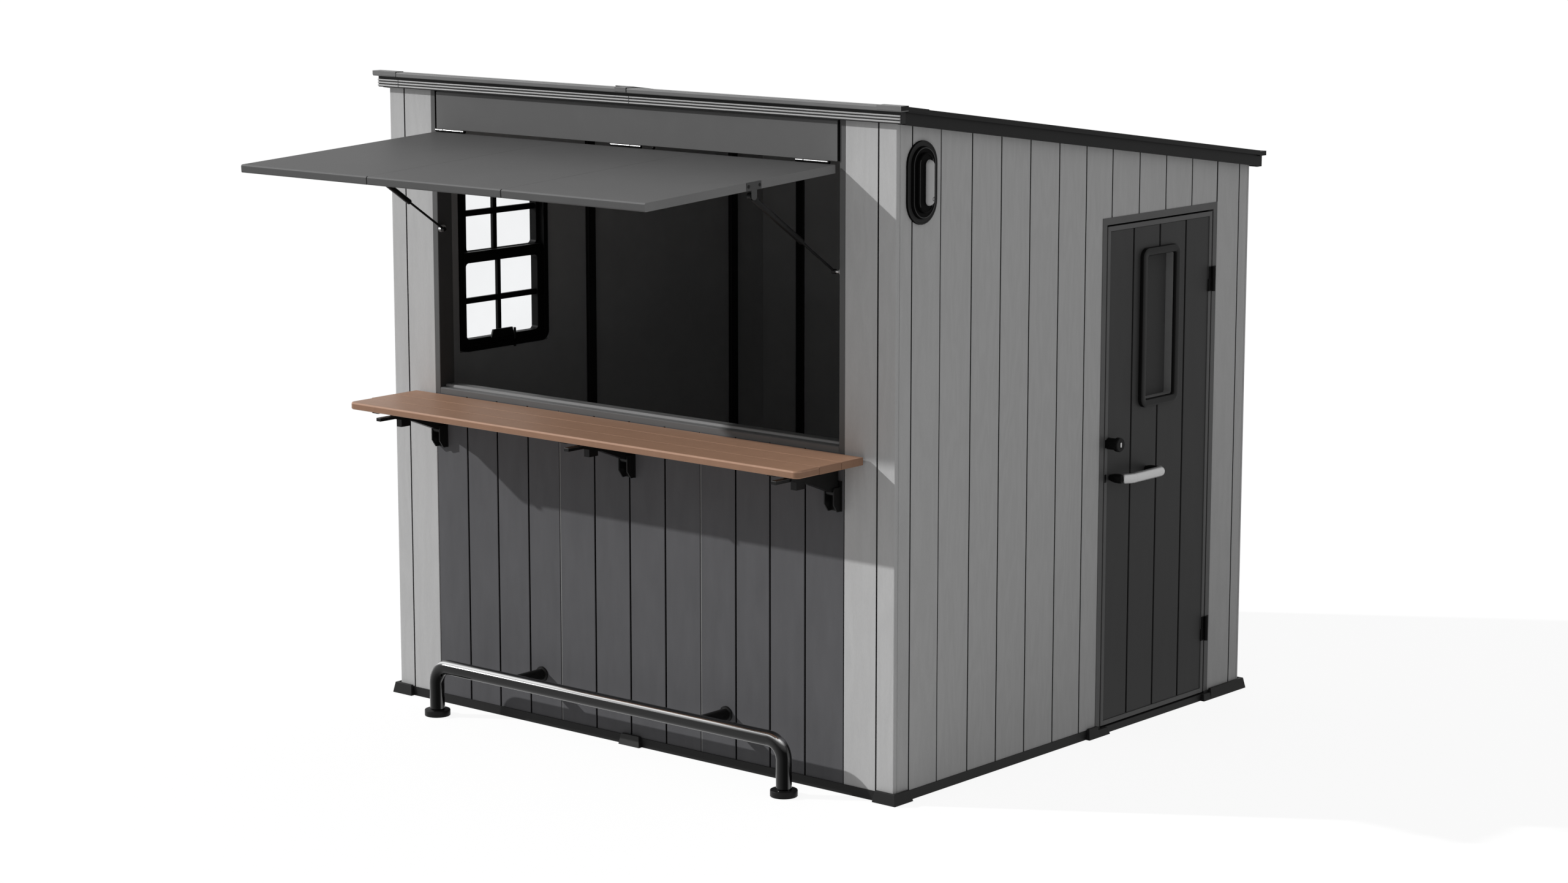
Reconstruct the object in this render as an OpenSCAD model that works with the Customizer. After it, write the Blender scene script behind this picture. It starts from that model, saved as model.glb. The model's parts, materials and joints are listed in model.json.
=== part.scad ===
// Street kiosk: a small walk-in building of moulded panels with a serving hatch.
// Origin on the ground at the middle of the walls, front towards -Y, +Z up, millimetres.

/* [Walls] */
// Width of the building over its walls
wall_w = 2280; // [2000:10:2800]
// Depth of the building over its walls
wall_d = 2008; // [1900:4:2400]
// Height of the roof's underside at the front wall's outer face
eave_h = 2200; // [2150:5:2400]
// Fall of the roof towards the rear, in degrees
roof_pitch = 7.9; // [4:0.1:9]
// Thickness of the wall panels
wall_t = 50; // [40:1:60]
// Width of a corner panel on the front and the rear
corner_front_w = 209; // [160:1:240]
// Width of a front corner panel on the side wall
corner_side_front = 222; // [180:1:250]
// Width of a rear corner panel on the side wall
corner_side_rear = 205; // [160:1:240]

/* [Base] */
// Height of the base band under the walls
base_h = 32; // [28:1:50]
// How far the base band stands out from the walls
base_proud = 4; // [2:1:10]
// Thickness of the floor panel
floor_t = 26; // [16:1:28]
// Height of the base feet
foot_h = 38; // [30:1:60]
// How far a foot stands out from the walls
foot_proud = 21; // [12:1:40]
// Length of a corner foot along each wall
foot_len = 75; // [50:1:120]
// Width of a foot in the middle of a wall
foot_mid_w = 84; // [50:1:100]
// Height of the low toe that a foot has beside the doorway
toe_h = 24; // [14:1:24]
// Reach of a foot's low toe past the door frame
toe_len = 40; // [20:1:60]

/* [Roof] */
// Thickness of the roof panel
roof_t = 36; // [24:1:60]
// Height of a fascia board
fascia_h = 39; // [30:1:60]
// How far a fascia reaches below the roof's underside
fascia_drop = 17; // [8:1:25]
// How far the front fascia stands out from the wall
fascia_front = 26; // [18:1:60]
// How far the side fascias stand out from the walls
fascia_side = 31; // [18:1:60]
// How far the rear fascia stands out from the wall
fascia_rear = 29; // [18:1:60]
// Thickness of the cap lip on top of the fascias
cap_t = 16; // [8:1:30]
// How far the cap lip stands out from its fascia
cap_lip = 11; // [4:1:24]
// Height of a ridge on the front fascia
ridge_h = 5; // [3:0.5:6]
// Spacing of the ridges on the front fascia
ridge_pitch = 9; // [8:0.5:11]
// Depth of the grooves between the ridges
ridge_depth = 5; // [2:0.5:8]
// Width of the strip over the roof's middle seam
seam_w = 84; // [40:1:120]
// How far the seam lies to the left of the roof's middle
seam_shift = 12; // [0:1:40]
// Thickness of the strip over the roof's middle seam
seam_t = 9; // [4:1:20]

/* [Serving hatch] */
// Height of the front wall below the hatch, which is also the counter's top
counter_z = 1121; // [1000:1:1180]
// Height of the hatch sill
sill_h = 30; // [20:1:50]
// Width of the hatch jambs seen from the front
jamb_w = 23; // [16:1:40]
// Depth of the hatch jambs and sill
jamb_d = 68; // [60:1:90]
// Drop from the roof's underside to the flap's hinge line
header_drop = 151; // [120:1:200]
// How far the header panel stands out from the wall
header_proud = 4; // [3:1:16]
// Thickness of the header panel
header_t = 42; // [30:1:50]
// Gap between the header's face and each jamb
header_side_gap = 7; // [3:1:12]

/* [Awning flap] */
// Thickness of the flap
flap_t = 27; // [20:1:32]
// Slope of the open flap below level, in degrees
flap_droop = 3.05; // [0:0.05:10]
// Gap between the flap and each jamb
flap_side_gap = 9; // [8:1:16]
// Gap between the closed flap and the sill
flap_sill_gap = 6; // [6:1:16]
// Gap between the hinge line and the flap's back edge
flap_back_gap = 2.5; // [2:0.5:10]
// Gap between the hinge barrels and the flap's face
flap_barrel_gap = 0.5; // [0.3:0.1:2]
// Radius of a flap hinge's barrel
flap_barrel_r = 5; // [4:0.5:6]
// Length of a flap hinge
flap_hinge_l = 136; // [80:1:180]
// Length of the flap hinge's knuckle on the header
flap_fixed_l = 34; // [24:1:50]
// Distance from the flap's side edge in to the middle of the outer hinges
flap_hinge_in = 82; // [70:1:200]
// How far the outer hinges sit to the left of that
flap_hinge_skew = 13; // [0:1:14]

/* [Gas struts] */
// Distance along the flap from the hinge line to the strut pivots
strut_along = 397; // [340:1:420]
// Distance of the strut pivots below the hinge line, square to the flap
strut_below = 51.5; // [50:0.5:60]
// Distance from the flap's side edge in to the strut's middle
strut_inset = 15; // [15:1:30]
// Drop from the hinge line to the stud on the jamb
stud_drop = 346; // [300:1:360]
// Distance of the stud behind the front wall's face
stud_in = 4; // [3:1:40]
// Radius of a strut's barrel
barrel_r = 9.5; // [7:0.5:10]
// Length of a strut's barrel as a share of the strut
barrel_share = 0.61; // [0.5:0.01:0.7]
// Radius of a strut's rod
rod_r = 4; // [3:0.5:6]
// Radius of the pins that the struts turn on
strut_pin_r = 4; // [3:0.5:5]

/* [Counter] */
// Distance from the wall's side in to the counter's end
counter_in = 123; // [20:1:200]
// Width of one plank
plank_w = 107; // [90:1:120]
// Thickness of the planks
plank_t = 25; // [18:1:40]
// Gap between the planks
plank_gap = 2; // [1:0.5:6]
// Gap between the counter and the wall
counter_gap = 12; // [8:1:20]
// Radius of the counter's front corners
counter_r = 22; // [8:1:50]
// Distance from the corner panels in to the outer brackets' middle
bracket_in = 33; // [30:1:200]
// Width of a bracket's arm
arm_w = 30; // [20:1:40]
// Drop from the counter's underside to the bracket's pivot
pivot_drop = 99; // [85:1:110]
// Distance of the bracket's pivot from the wall
pivot_out = 23; // [22:1:30]
// Radius of the bracket's pin
bracket_pin_r = 5; // [3:0.5:6]
// Height of the bracket's wall plate
plate_h = 98; // [80:1:120]
// Reach of a bracket's arm from the wall
arm_reach = 325; // [300:1:326]

/* [Foot rail] */
// Distance from the wall's side in to the rail's posts
rail_in = 339; // [200:1:450]
// Radius of the rail's tube
rail_r = 24; // [16:0.5:28]
// Height of the rail's middle line
rail_z = 174; // [140:1:260]
// Distance of the rail's middle line from the wall
rail_out = 146; // [100:1:200]
// Radius of the rail's bends at the middle line
rail_bend_r = 56; // [50:1:100]
// Radius of a floor disc
disc_r = 45.5; // [36:0.5:60]
// Thickness of a floor disc
disc_t = 22; // [10:1:40]
// Radius of a wall stand-off
standoff_r = 20; // [10:0.5:22]
// Radius of the flange where a stand-off meets the wall
flange_r = 27; // [20:0.5:40]
// Distance between the wall stand-offs
standoff_l = 852; // [400:2:1100]

/* [Door] */
// Width of the doorway between its jambs
doorway_w = 644; // [560:1:680]
// Height of the wall over the door frame, at its lower rear end
door_over_h = 158; // [100:1:240]
// Width of the door frame's members
door_frame_w = 24; // [20:1:40]
// How far the door frame and leaf stand out from the wall
door_proud = 2; // [1:1:20]
// Thickness of the door leaf
door_t = 40; // [30:1:50]
// Gap around the door leaf
door_gap = 6; // [5.5:0.5:10]
// Height of the threshold under the door
threshold_h = 24; // [16:1:28]
// Width of the wall strip between the right wall panel and the door frame
door_strip_w = 96; // [60:1:150]
// Radius of a door hinge's barrel
hinge_r = 7; // [5:0.5:8]
// Height of a door hinge
hinge_h = 87; // [60:1:120]
// Drop from the door's top to the top hinge's middle
hinge_drop = 238; // [120:1:400]
// Height of the bottom hinge's middle
hinge_low_z = 265; // [150:1:400]
// Width of the door window's rim
door_win_w = 226; // [180:1:320]
// Drop from the door's top to the window's rim
door_win_drop = 92; // [60:1:140]
// Height of the door window's rim above the lock
door_win_up = 99; // [60:1:160]
// Width of the rim's face
rim_face = 28; // [22:1:60]
// How far the rim stands out from the door
rim_proud = 13; // [4:1:16]
// Radius of the rim's corners
rim_r = 32; // [10:1:60]
// Distance between the handle's legs
handle_l = 214; // [160:1:360]
// Radius of the handle's bar
handle_r = 17.5; // [10:0.5:20]
// Length along the door of the handle's longer slanted end
handle_run = 34; // [24:1:50]
// Distance of the handle's bar from the door
handle_out = 65; // [44:1:80]
// Height of the handle as a share of the door's height
handle_share = 0.502; // [0.44:0.002:0.56]
// Radius of the lock
lock_r = 24.5; // [15:0.5:30]
// How far the lock stands out from the door
lock_out = 51; // [20:1:60]
// Height of the lock above the handle
lock_up = 120; // [80:1:160]

/* [Left window] */
// Width of the window frame
window_w = 453; // [360:1:520]
// Drop from the roof's underside at the front to the window frame's top
window_drop = 308; // [250:1:420]
// Height of the window frame's bottom edge above the hatch sill
window_up = 62; // [20:1:160]
// Distance from the corner panel to the window frame
window_off = 54; // [20:1:80]
// Width of the window frame's members
window_face = 44; // [30:1:60]
// How far the window frame stands out on both sides of the wall
window_proud = 10; // [4:1:20]
// Height of the rail where the two sashes meet
meeting_h = 32; // [24:1:80]
// Thickness of the window glass
glass_t = 5; // [3:0.5:8]

/* [Wall light] */
// Width of the light's housing
light_w = 145; // [120:1:160]
// Height of the light's housing
light_h = 265; // [220:1:280]
// Distance of the light's middle from the front wall's face
light_back = 116; // [100:1:160]
// Drop from the roof's underside at the front to the light's middle
light_drop = 207; // [200:1:260]
// Thickness of one step of the housing
light_step = 8; // [6:1:20]
// Inset of each step of the housing
light_inset = 19; // [8:1:24]
// Width of the lens
lens_w = 38; // [30:1:60]
// Height of the lens
lens_h = 146; // [100:1:160]

/* [Hidden] */
$fn = 48;

// Running clearance of a pin in its hole
pin_gap = 0.08;
// Gap between neighbouring knuckles, and between a socket and its stud
side_gap = 0.6;
// Thickness of the hinge leaves
leaf_t = 3;
// Gap between the walls' tops and the roof's underside
roof_seat = 0.2;

half_w = wall_w / 2;
front_y = -wall_d / 2;
rear_y = wall_d / 2;
hatch_half = half_w - corner_front_w;
hatch_clear = hatch_half - jamb_w;
sill_z = counter_z + sill_h;
pitch_rise = tan(roof_pitch);
function roof_z(y) = eave_h - (y - front_y) * pitch_rise;
function wall_top(y) = roof_z(y) - roof_seat;
function fascia_z(y) = roof_z(y) - fascia_drop;

// Right wall, from front to rear: corner panel, wall panel, strip, jamb, doorway, jamb, corner panel
door_rear_y = rear_y - corner_side_rear;
doorway_y1 = door_rear_y - door_frame_w;
doorway_y0 = doorway_y1 - doorway_w;
door_front_y = doorway_y0 - door_frame_w;
panel_joint_y = door_front_y - door_strip_w;
corner_end_y = front_y + corner_side_front;
door_head_z = roof_z(door_rear_y) - door_over_h;
doorway_h = door_head_z - door_frame_w;
door_face_x = half_w + door_proud;
leaf_y0 = doorway_y0 + door_gap;
leaf_y1 = doorway_y1 - door_gap;
leaf_z0 = threshold_h + door_gap;
leaf_z1 = doorway_h - door_gap;
door_pin_x = door_face_x + hinge_r + 1;
door_pin_y = doorway_y1 - door_gap / 2;
door_pin_r = hinge_r / 2;
door_leaf_w = door_frame_w - 4;
door_win_y = (leaf_y0 + leaf_y1) / 2 - 6;
handle_y0 = leaf_y0 + 36;
lock_neck_r = 0.82 * lock_r;
lock_y = leaf_y0 + lock_neck_r + 2;
handle_z = leaf_z0 + handle_share * (leaf_z1 - leaf_z0);
lock_z = handle_z + lock_up;
hinge_top_z = leaf_z1 - hinge_drop;
door_win_top = leaf_z1 - door_win_drop;
door_win_low = lock_z + door_win_up;
door_win_h = door_win_top - door_win_low;
door_win_z = (door_win_top + door_win_low) / 2;
rim_lip = rim_face / 2;

// Flap and struts
flap_pin_out = flap_barrel_r + flap_barrel_gap;
hinge_y = front_y - header_proud - flap_pin_out;
hinge_z = eave_h - header_drop;
flap_half = hatch_clear - flap_side_gap;
flap_l = hinge_z - sill_z - flap_sill_gap;
flap_under = flap_pin_out + flap_t;
flap_pin_r = flap_barrel_r / 2;
header_bottom = hinge_z + flap_barrel_r;
fixed_leaf_t = flap_barrel_r / 2;
strut_x = flap_half - strut_inset;
pivot_y = hinge_y - strut_along * cos(flap_droop) + strut_below * sin(flap_droop);
strut_pivot_z = hinge_z - strut_along * sin(flap_droop) - strut_below * cos(flap_droop);
stud_y = front_y + stud_in;
stud_z = hinge_z - stud_drop;
strut_l = norm([stud_y - pivot_y, stud_z - strut_pivot_z]);
strut_angle = atan2(stud_z - strut_pivot_z, stud_y - pivot_y);
eye_r = 10;
eye_half = 8;
socket_r = 8;
strut_plate_t = 2.5;
barrel_l = barrel_share * strut_l;
stud_r = 5;
stud_flange_r = 12;
stud_flange_t = 3.9;

// Counter and foot rail
counter_l = wall_w - 2 * counter_in;
bracket_x = hatch_half - bracket_in;
rail_l = wall_w - 2 * rail_in;
plank_z = counter_z - plank_t;
bracket_y = front_y - pivot_out;
bracket_z = plank_z - pivot_drop;
plate_t = 5;
plate_w = 48;
cheek_t = 4.5;
cheek_gap = 1.5;
cheek_out = pivot_out + 15;
cheek_top = bracket_z + 15;
plate_bottom = bracket_z - plate_h + 33;
arm_end_r = pivot_out - plate_t - 5;

// Window in the left wall
window_y0 = corner_end_y + window_off;
window_y1 = window_y0 + window_w;
window_z = sill_z + window_up;
window_top = eave_h - window_drop;
window_h = window_top - window_z;
meeting_z = window_z + (window_h - meeting_h) / 2 + 3;

// Wall light
light_y = front_y + light_back;
light_z = eave_h - light_drop;

pale = [0.69, 0.69, 0.69];
grey = [0.48, 0.48, 0.48];
dark = [0.26, 0.26, 0.26];
black = [0.08, 0.08, 0.08];
brown = [0.55, 0.41, 0.35];
steel = [0.75, 0.75, 0.75];
clear = [0.8, 0.85, 0.9, 0.4];

// Box from ranges along each axis
module block(x, y, z) {
    translate([x[0], y[0], z[0]]) cube([x[1] - x[0], y[1] - y[0], z[1] - z[0]]);
}

// Outline in Y and Z drawn out along X
module prism_x(x, outline) {
    translate([x[0], 0, 0]) along_x(x[1] - x[0]) polygon(outline);
}

// Flat shape in Y and Z drawn out along +X
module along_x(length) {
    rotate([90, 0, 90]) linear_extrude(length) children();
}

// Cylinder along X from one place to another
module rod_x(x, y, z, r) {
    translate([x[0], y, z]) rotate([0, 90, 0]) cylinder(r = r, h = x[1] - x[0]);
}

// Wall block whose top follows the roof's slope
module wall_block(x, y, z0) {
    prism_x(x, [[y[0], z0], [y[1], z0], [y[1], wall_top(y[1])], [y[0], wall_top(y[0])]]);
}

// Board that follows the roof's slope, from one height above the underside to another
module sloped_board(x, y, up) {
    prism_x(x, [[y[0], roof_z(y[0]) + up[0]], [y[1], roof_z(y[1]) + up[0]],
        [y[1], roof_z(y[1]) + up[1]], [y[0], roof_z(y[0]) + up[1]]]);
}

module both_sides() {
    children();
    mirror([1, 0, 0]) children();
}

module rounded_rect(w, h, r) {
    square([w - 2 * r, h], center = true);
    square([w, h - 2 * r], center = true);
    for (sx = [-1, 1], sy = [-1, 1])
        translate([sx * (w / 2 - r), sy * (h / 2 - r)]) circle(r);
}

module pill(w, h) {
    square([w, h - w], center = true);
    for (s = [-1, 1]) translate([0, s * (h - w) / 2]) circle(w / 2);
}

// Floor and base
module floor_panel() {
    color(black)
        block([-half_w + wall_t, half_w - wall_t], [front_y + wall_t, rear_y - wall_t], [0, floor_t]);
}

module base_cross(y) {
    color(black) block([-half_w - base_proud, half_w + base_proud], y, [0, base_h]);
}

module base_front() base_cross([front_y - base_proud, front_y + wall_t]);

module base_rear() base_cross([rear_y - wall_t, rear_y + base_proud]);

module base_right() {
    y0 = front_y + wall_t;
    y1 = rear_y - wall_t;
    color(black)
        prism_x([half_w - wall_t, half_w + base_proud],
            [[y0, 0], [y1, 0], [y1, base_h], [doorway_y1, base_h], [doorway_y1, threshold_h],
             [doorway_y0, threshold_h], [doorway_y0, base_h], [y0, base_h]]);
}

module base_left() {
    color(black)
        block([-half_w - base_proud, -half_w + wall_t], [front_y + wall_t, rear_y - wall_t], [0, base_h]);
}

// Foot round a corner: plan outline of an L outside the base band
module corner_foot(y_face, out, side_len) {
    x0 = half_w + base_proud;
    x1 = half_w + foot_proud;
    y0 = y_face + out * base_proud;
    y1 = y_face + out * foot_proud;
    linear_extrude(foot_h)
        polygon([[half_w - foot_len, y0], [half_w - foot_len, y1], [x1, y1],
            [x1, y_face - out * side_len], [x0, y_face - out * side_len], [x0, y0]]);
}

module base_feet() {
    side_x = [half_w + base_proud, half_w + foot_proud];
    color(black) {
        both_sides() {
            corner_foot(front_y, -1, foot_len);
            corner_foot(rear_y, 1, corner_side_rear);
            block(side_x, [doorway_y1 - foot_proud, door_rear_y], [0, toe_h]);
            block(side_x, [door_front_y - 0.7 * foot_mid_w, door_front_y], [0, foot_h]);
            block(side_x, [door_front_y, doorway_y0 + toe_len], [0, toe_h]);
        }
        for (y = [[front_y - foot_proud, front_y - base_proud], [rear_y + base_proud, rear_y + foot_proud]])
            block([-foot_mid_w / 2, foot_mid_w / 2], y, [0, foot_h]);
    }
}

// Corner panels
module corner_front() {
    wall_block([half_w - corner_front_w, half_w], [front_y, front_y + wall_t], base_h);
    wall_block([half_w - wall_t, half_w], [front_y, corner_end_y], base_h);
}

module corner_rear() {
    wall_block([half_w - corner_front_w, half_w], [rear_y - wall_t, rear_y], base_h);
    wall_block([half_w - wall_t, half_w], [door_rear_y, rear_y], base_h);
}

module corner_front_right() color(pale) corner_front();

module corner_front_left() color(pale) mirror([1, 0, 0]) corner_front();

module corner_rear_right() color(pale) corner_rear();

module corner_rear_left() color(pale) mirror([1, 0, 0]) corner_rear();

// Walls
module front_lower_wall() {
    color(dark) block([-hatch_half, hatch_half], [front_y, front_y + wall_t], [base_h, counter_z]);
}

module right_wall_panel() {
    color(grey) wall_block([half_w - wall_t, half_w], [corner_end_y, panel_joint_y], base_h);
}

module door_wall_strip() {
    color(grey) wall_block([half_w - wall_t, half_w], [panel_joint_y, door_front_y], base_h);
}

module door_wall_over() {
    color(grey) wall_block([half_w - wall_t, half_w], [door_front_y, door_rear_y], door_head_z);
}

module left_wall_window_panel() {
    color(grey) difference() {
        wall_block([-half_w, -half_w + wall_t], [corner_end_y, panel_joint_y], base_h);
        block([-half_w - 1, -half_w + wall_t + 1], [window_y0, window_y1], [window_z, window_top]);
    }
}

module left_wall_rear_panel() {
    color(grey) wall_block([-half_w, -half_w + wall_t], [panel_joint_y, door_rear_y], base_h);
}

module rear_wall() {
    color(grey) wall_block([-hatch_half, hatch_half], [rear_y - wall_t, rear_y], base_h);
}

// Serving hatch
module hatch_jambs() {
    color(dark) both_sides()
        wall_block([hatch_clear, hatch_half], [front_y, front_y + jamb_d], counter_z);
}

module hatch_sill() {
    color(dark) block([-hatch_clear, hatch_clear], [front_y, front_y + jamb_d], [counter_z, sill_z]);
}

module hatch_header() {
    face_y = front_y - header_proud;
    back_y = face_y + header_t;
    rebate_y = front_y + header_side_gap;
    face_top = fascia_z(front_y) - 2;
    face_half = hatch_clear - header_side_gap;
    color(dark) {
        prism_x([-face_half, face_half],
            [[face_y, header_bottom], [rebate_y, header_bottom], [rebate_y, wall_top(rebate_y)],
             [front_y, wall_top(front_y)], [front_y, face_top], [face_y, face_top]]);
        wall_block([-hatch_clear, hatch_clear], [rebate_y, back_y], header_bottom);
    }
}

// Roof
module roof_panel() {
    color(dark) sloped_board([-half_w, half_w], [front_y, rear_y], [0, roof_t]);
}

module roof_seam_strip() {
    color(dark) sloped_board([-seam_shift - seam_w / 2, -seam_shift + seam_w / 2], [front_y, rear_y],
        [roof_t, roof_t + seam_t]);
}

module front_fascia() {
    board_y = front_y - fascia_front;
    groove_y = board_y + ridge_depth;
    z0 = fascia_z(board_y);
    z1 = z0 + fascia_h;
    half = half_w + fascia_side;
    color(black) {
        block([-half, half], [groove_y, front_y], [z0, z1]);
        for (i = [0:2])
            block([-half, half], [board_y, groove_y],
                [z0 + (i + 0.7) * ridge_pitch - ridge_h / 2, z0 + (i + 0.7) * ridge_pitch + ridge_h / 2]);
        block([-half - cap_lip, half + cap_lip], [board_y - cap_lip, front_y], [z1, z1 + cap_t]);
    }
}

module rear_fascia() {
    board_y = rear_y + fascia_rear;
    z1 = fascia_z(board_y) + fascia_h;
    half = half_w + fascia_side;
    color(black) {
        block([-half, half], [rear_y, board_y], [fascia_z(board_y), z1]);
        block([-half - cap_lip, half + cap_lip], [rear_y, board_y + cap_lip], [z1, z1 + cap_t]);
    }
}

module right_fascia() {
    top = fascia_h - fascia_drop;
    color(black) {
        sloped_board([half_w, half_w + fascia_side], [front_y, rear_y], [-fascia_drop, top]);
        sloped_board([half_w, half_w + fascia_side + cap_lip], [front_y, rear_y], [top, top + cap_t]);
    }
}

module left_fascia() mirror([1, 0, 0]) right_fascia();

// Window in the left wall
module window_frame() {
    x = [-half_w - window_proud, -half_w + wall_t + window_proud];
    inside = [window_y0 + window_face, window_y1 - window_face];
    color(black) difference() {
        block(x, [window_y0, window_y1], [window_z, window_top]);
        block([x[0] - 1, x[1] + 1], inside, [window_z + window_face, meeting_z]);
        block([x[0] - 1, x[1] + 1], inside, [meeting_z + meeting_h, window_top - window_face]);
    }
}

module window_glass() {
    x = -half_w + wall_t / 2;
    y = [window_y0 + window_face, window_y1 - window_face];
    color(clear) {
        block([x, x + glass_t], y, [window_z + window_face, meeting_z]);
        block([x - 2 * glass_t, x - glass_t], y, [meeting_z + meeting_h, window_top - window_face]);
    }
}

// Light on the right wall
module at_light(x) {
    translate([x, light_y, light_z]) children();
}

module wall_light_housing() {
    color(black)
        for (i = [0:2])
            at_light(half_w) along_x((i + 1) * light_step)
                pill(light_w - 2 * i * light_inset, light_h - 2 * i * light_inset);
}

module wall_light_lens() {
    color(steel) at_light(half_w + 3 * light_step) along_x(1.5 * light_step) pill(lens_w, lens_h);
}

// Door frame and door
module door_jambs() {
    x = [half_w - wall_t, door_face_x];
    color(dark) {
        block(x, [door_front_y, doorway_y0], [base_h, doorway_h]);
        block(x, [doorway_y1, door_rear_y], [base_h, doorway_h]);
    }
}

module door_head() {
    color(dark) block([half_w - wall_t, door_face_x], [door_front_y, door_rear_y], [doorway_h, door_head_z]);
}

module at_door_window(x) {
    translate([x, door_win_y, door_win_z]) children();
}

module door_leaf() {
    color(black) difference() {
        block([door_face_x - door_t, door_face_x], [leaf_y0, leaf_y1], [leaf_z0, leaf_z1]);
        at_door_window(door_face_x - door_t - 1) along_x(door_t + 2)
            rounded_rect(door_win_w - 2 * rim_lip, door_win_h - 2 * rim_lip, rim_r - rim_lip / 2);
    }
}

module rim_opening() {
    rounded_rect(door_win_w - 2 * rim_face, door_win_h - 2 * rim_face, rim_r / 3);
}

module door_window_rim() {
    back_x = door_face_x - door_t;
    color(black) difference() {
        union() {
            at_door_window(back_x) along_x(door_t)
                rounded_rect(door_win_w - 2 * rim_lip, door_win_h - 2 * rim_lip, rim_r - rim_lip / 2);
            for (x = [back_x - rim_proud, door_face_x])
                at_door_window(x) along_x(rim_proud) rounded_rect(door_win_w, door_win_h, rim_r);
        }
        at_door_window(back_x - rim_proud - 1) along_x(door_t + 2 * rim_proud + 2) rim_opening();
    }
}

module door_window_glass() {
    color(clear) at_door_window(door_face_x - 0.9 * door_t) along_x(glass_t) rim_opening();
}

// Ring of points round a place on the handle, given by its distance out and along, and widened in plan
function handle_ring(place, wide, r) = [for (i = [0:15]) let (t = 360 * i / 16)
    [door_face_x + place[0] + wide[0] * r * cos(t), handle_y0 + place[1] + wide[1] * r * cos(t),
        handle_z + r * sin(t)]];

// Solid drawn through rings of 16 points
module through_rings(rings) {
    last = len(rings) - 1;
    polyhedron(points = [for (ring = rings) each ring],
        faces = concat([[for (i = [15:-1:0]) i]], [[for (i = [0:15]) last * 16 + i]],
            [for (k = [0:last - 1], i = [0:15])
                [k * 16 + i, k * 16 + (i + 1) % 16, (k + 1) * 16 + (i + 1) % 16, (k + 1) * 16 + i]]));
}

// Handle's line in plan: out of the door, slanted, along the door, and back
handle_line = [[0, 0], [0.7 * handle_out, 0], [handle_out, handle_run],
    [handle_out, handle_l - 0.3 * handle_run], [handle_out - 0.3 * handle_run, handle_l], [0, handle_l]];
function square_to(d) = [d[1], -d[0]] / norm(d);
function mitre(a, b) = (square_to(a) + square_to(b)) / (1 + square_to(a) * square_to(b));
function handle_bend(i, r) = handle_ring(handle_line[i],
    mitre(handle_line[i] - handle_line[i - 1], handle_line[i + 1] - handle_line[i]), r);

module door_handle_bar() {
    color(steel) through_rings([for (i = [1:4]) handle_bend(i, handle_r)]);
}

module door_handle_legs() {
    leg_r = 0.8 * handle_r;
    color(black) {
        through_rings([handle_ring(handle_line[0], [0, -1], leg_r), handle_bend(1, leg_r)]);
        through_rings([handle_bend(4, leg_r), handle_ring(handle_line[5], [0, 1], leg_r)]);
    }
}

module door_lock() {
    neck_x = door_face_x + 0.65 * lock_out;
    color(black) {
        rod_x([door_face_x, neck_x], lock_y, lock_z, lock_neck_r);
        rod_x([neck_x, door_face_x + lock_out], lock_y, lock_z, lock_r);
    }
}

// Half of a door hinge: a knuckle with its leaf, on the frame's or the door's side
module door_knuckle(z, leaf_y) {
    translate([door_pin_x, door_pin_y, z[0]]) cylinder(r = hinge_r, h = z[1] - z[0]);
    block([door_face_x, door_face_x + leaf_t], leaf_y, z);
}

module door_hinge_fixed() {
    color(black)
        for (z = [hinge_low_z, hinge_top_z]) {
            door_knuckle([z - hinge_h / 2, z - side_gap / 2], [door_pin_y, door_pin_y + door_leaf_w]);
            translate([door_pin_x, door_pin_y, z - hinge_h / 2])
                cylinder(r = door_pin_r, h = hinge_h - leaf_t);
        }
}

module door_hinge_moving() {
    color(black)
        for (z = [hinge_low_z, hinge_top_z])
            difference() {
                door_knuckle([z + side_gap / 2, z + hinge_h / 2], [door_pin_y - door_leaf_w, door_pin_y]);
                translate([door_pin_x, door_pin_y, z - 1])
                    cylinder(r = door_pin_r + pin_gap, h = hinge_h / 2 - leaf_t + 2);
            }
}

// Flap: local -Y runs out along the flap from the hinge line, local Z is square to it
module on_flap() {
    translate([0, hinge_y, hinge_z]) rotate([flap_droop, 0, 0]) children();
}

module awning_flap() {
    color(dark) on_flap()
        block([-flap_half, flap_half], [-flap_l, -flap_back_gap], [-flap_under, -flap_pin_out]);
}

// Places of the three flap hinges, at their left ends
function flap_hinge_starts() = [for (i = [-1:1])
    i * (flap_half - flap_hinge_in) - abs(i) * flap_hinge_skew - flap_hinge_l / 2];

module flap_hinge_fixed() {
    face_y = front_y - header_proud;
    leaf_z = [header_bottom - fixed_leaf_t, header_bottom];
    color(steel)
        for (x = flap_hinge_starts()) {
            knuckle = [x, x + flap_fixed_l];
            rod_x(knuckle, hinge_y, hinge_z, flap_barrel_r);
            rod_x([x, x + flap_hinge_l - leaf_t], hinge_y, hinge_z, flap_pin_r);
            block(knuckle, [hinge_y, face_y + 0.6 * header_t], leaf_z);
        }
}

module flap_hinge_moving() {
    color(steel) on_flap()
        for (x = flap_hinge_starts()) {
            knuckle = [x + flap_fixed_l + side_gap, x + flap_hinge_l];
            difference() {
                union() {
                    rod_x(knuckle, 0, 0, flap_barrel_r);
                    block(knuckle, [-flap_back_gap, 0], [-0.8 * flap_under, 0]);
                }
                rod_x([x, knuckle[1] - leaf_t + 1], 0, 0, flap_pin_r + pin_gap);
            }
        }
}

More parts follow.
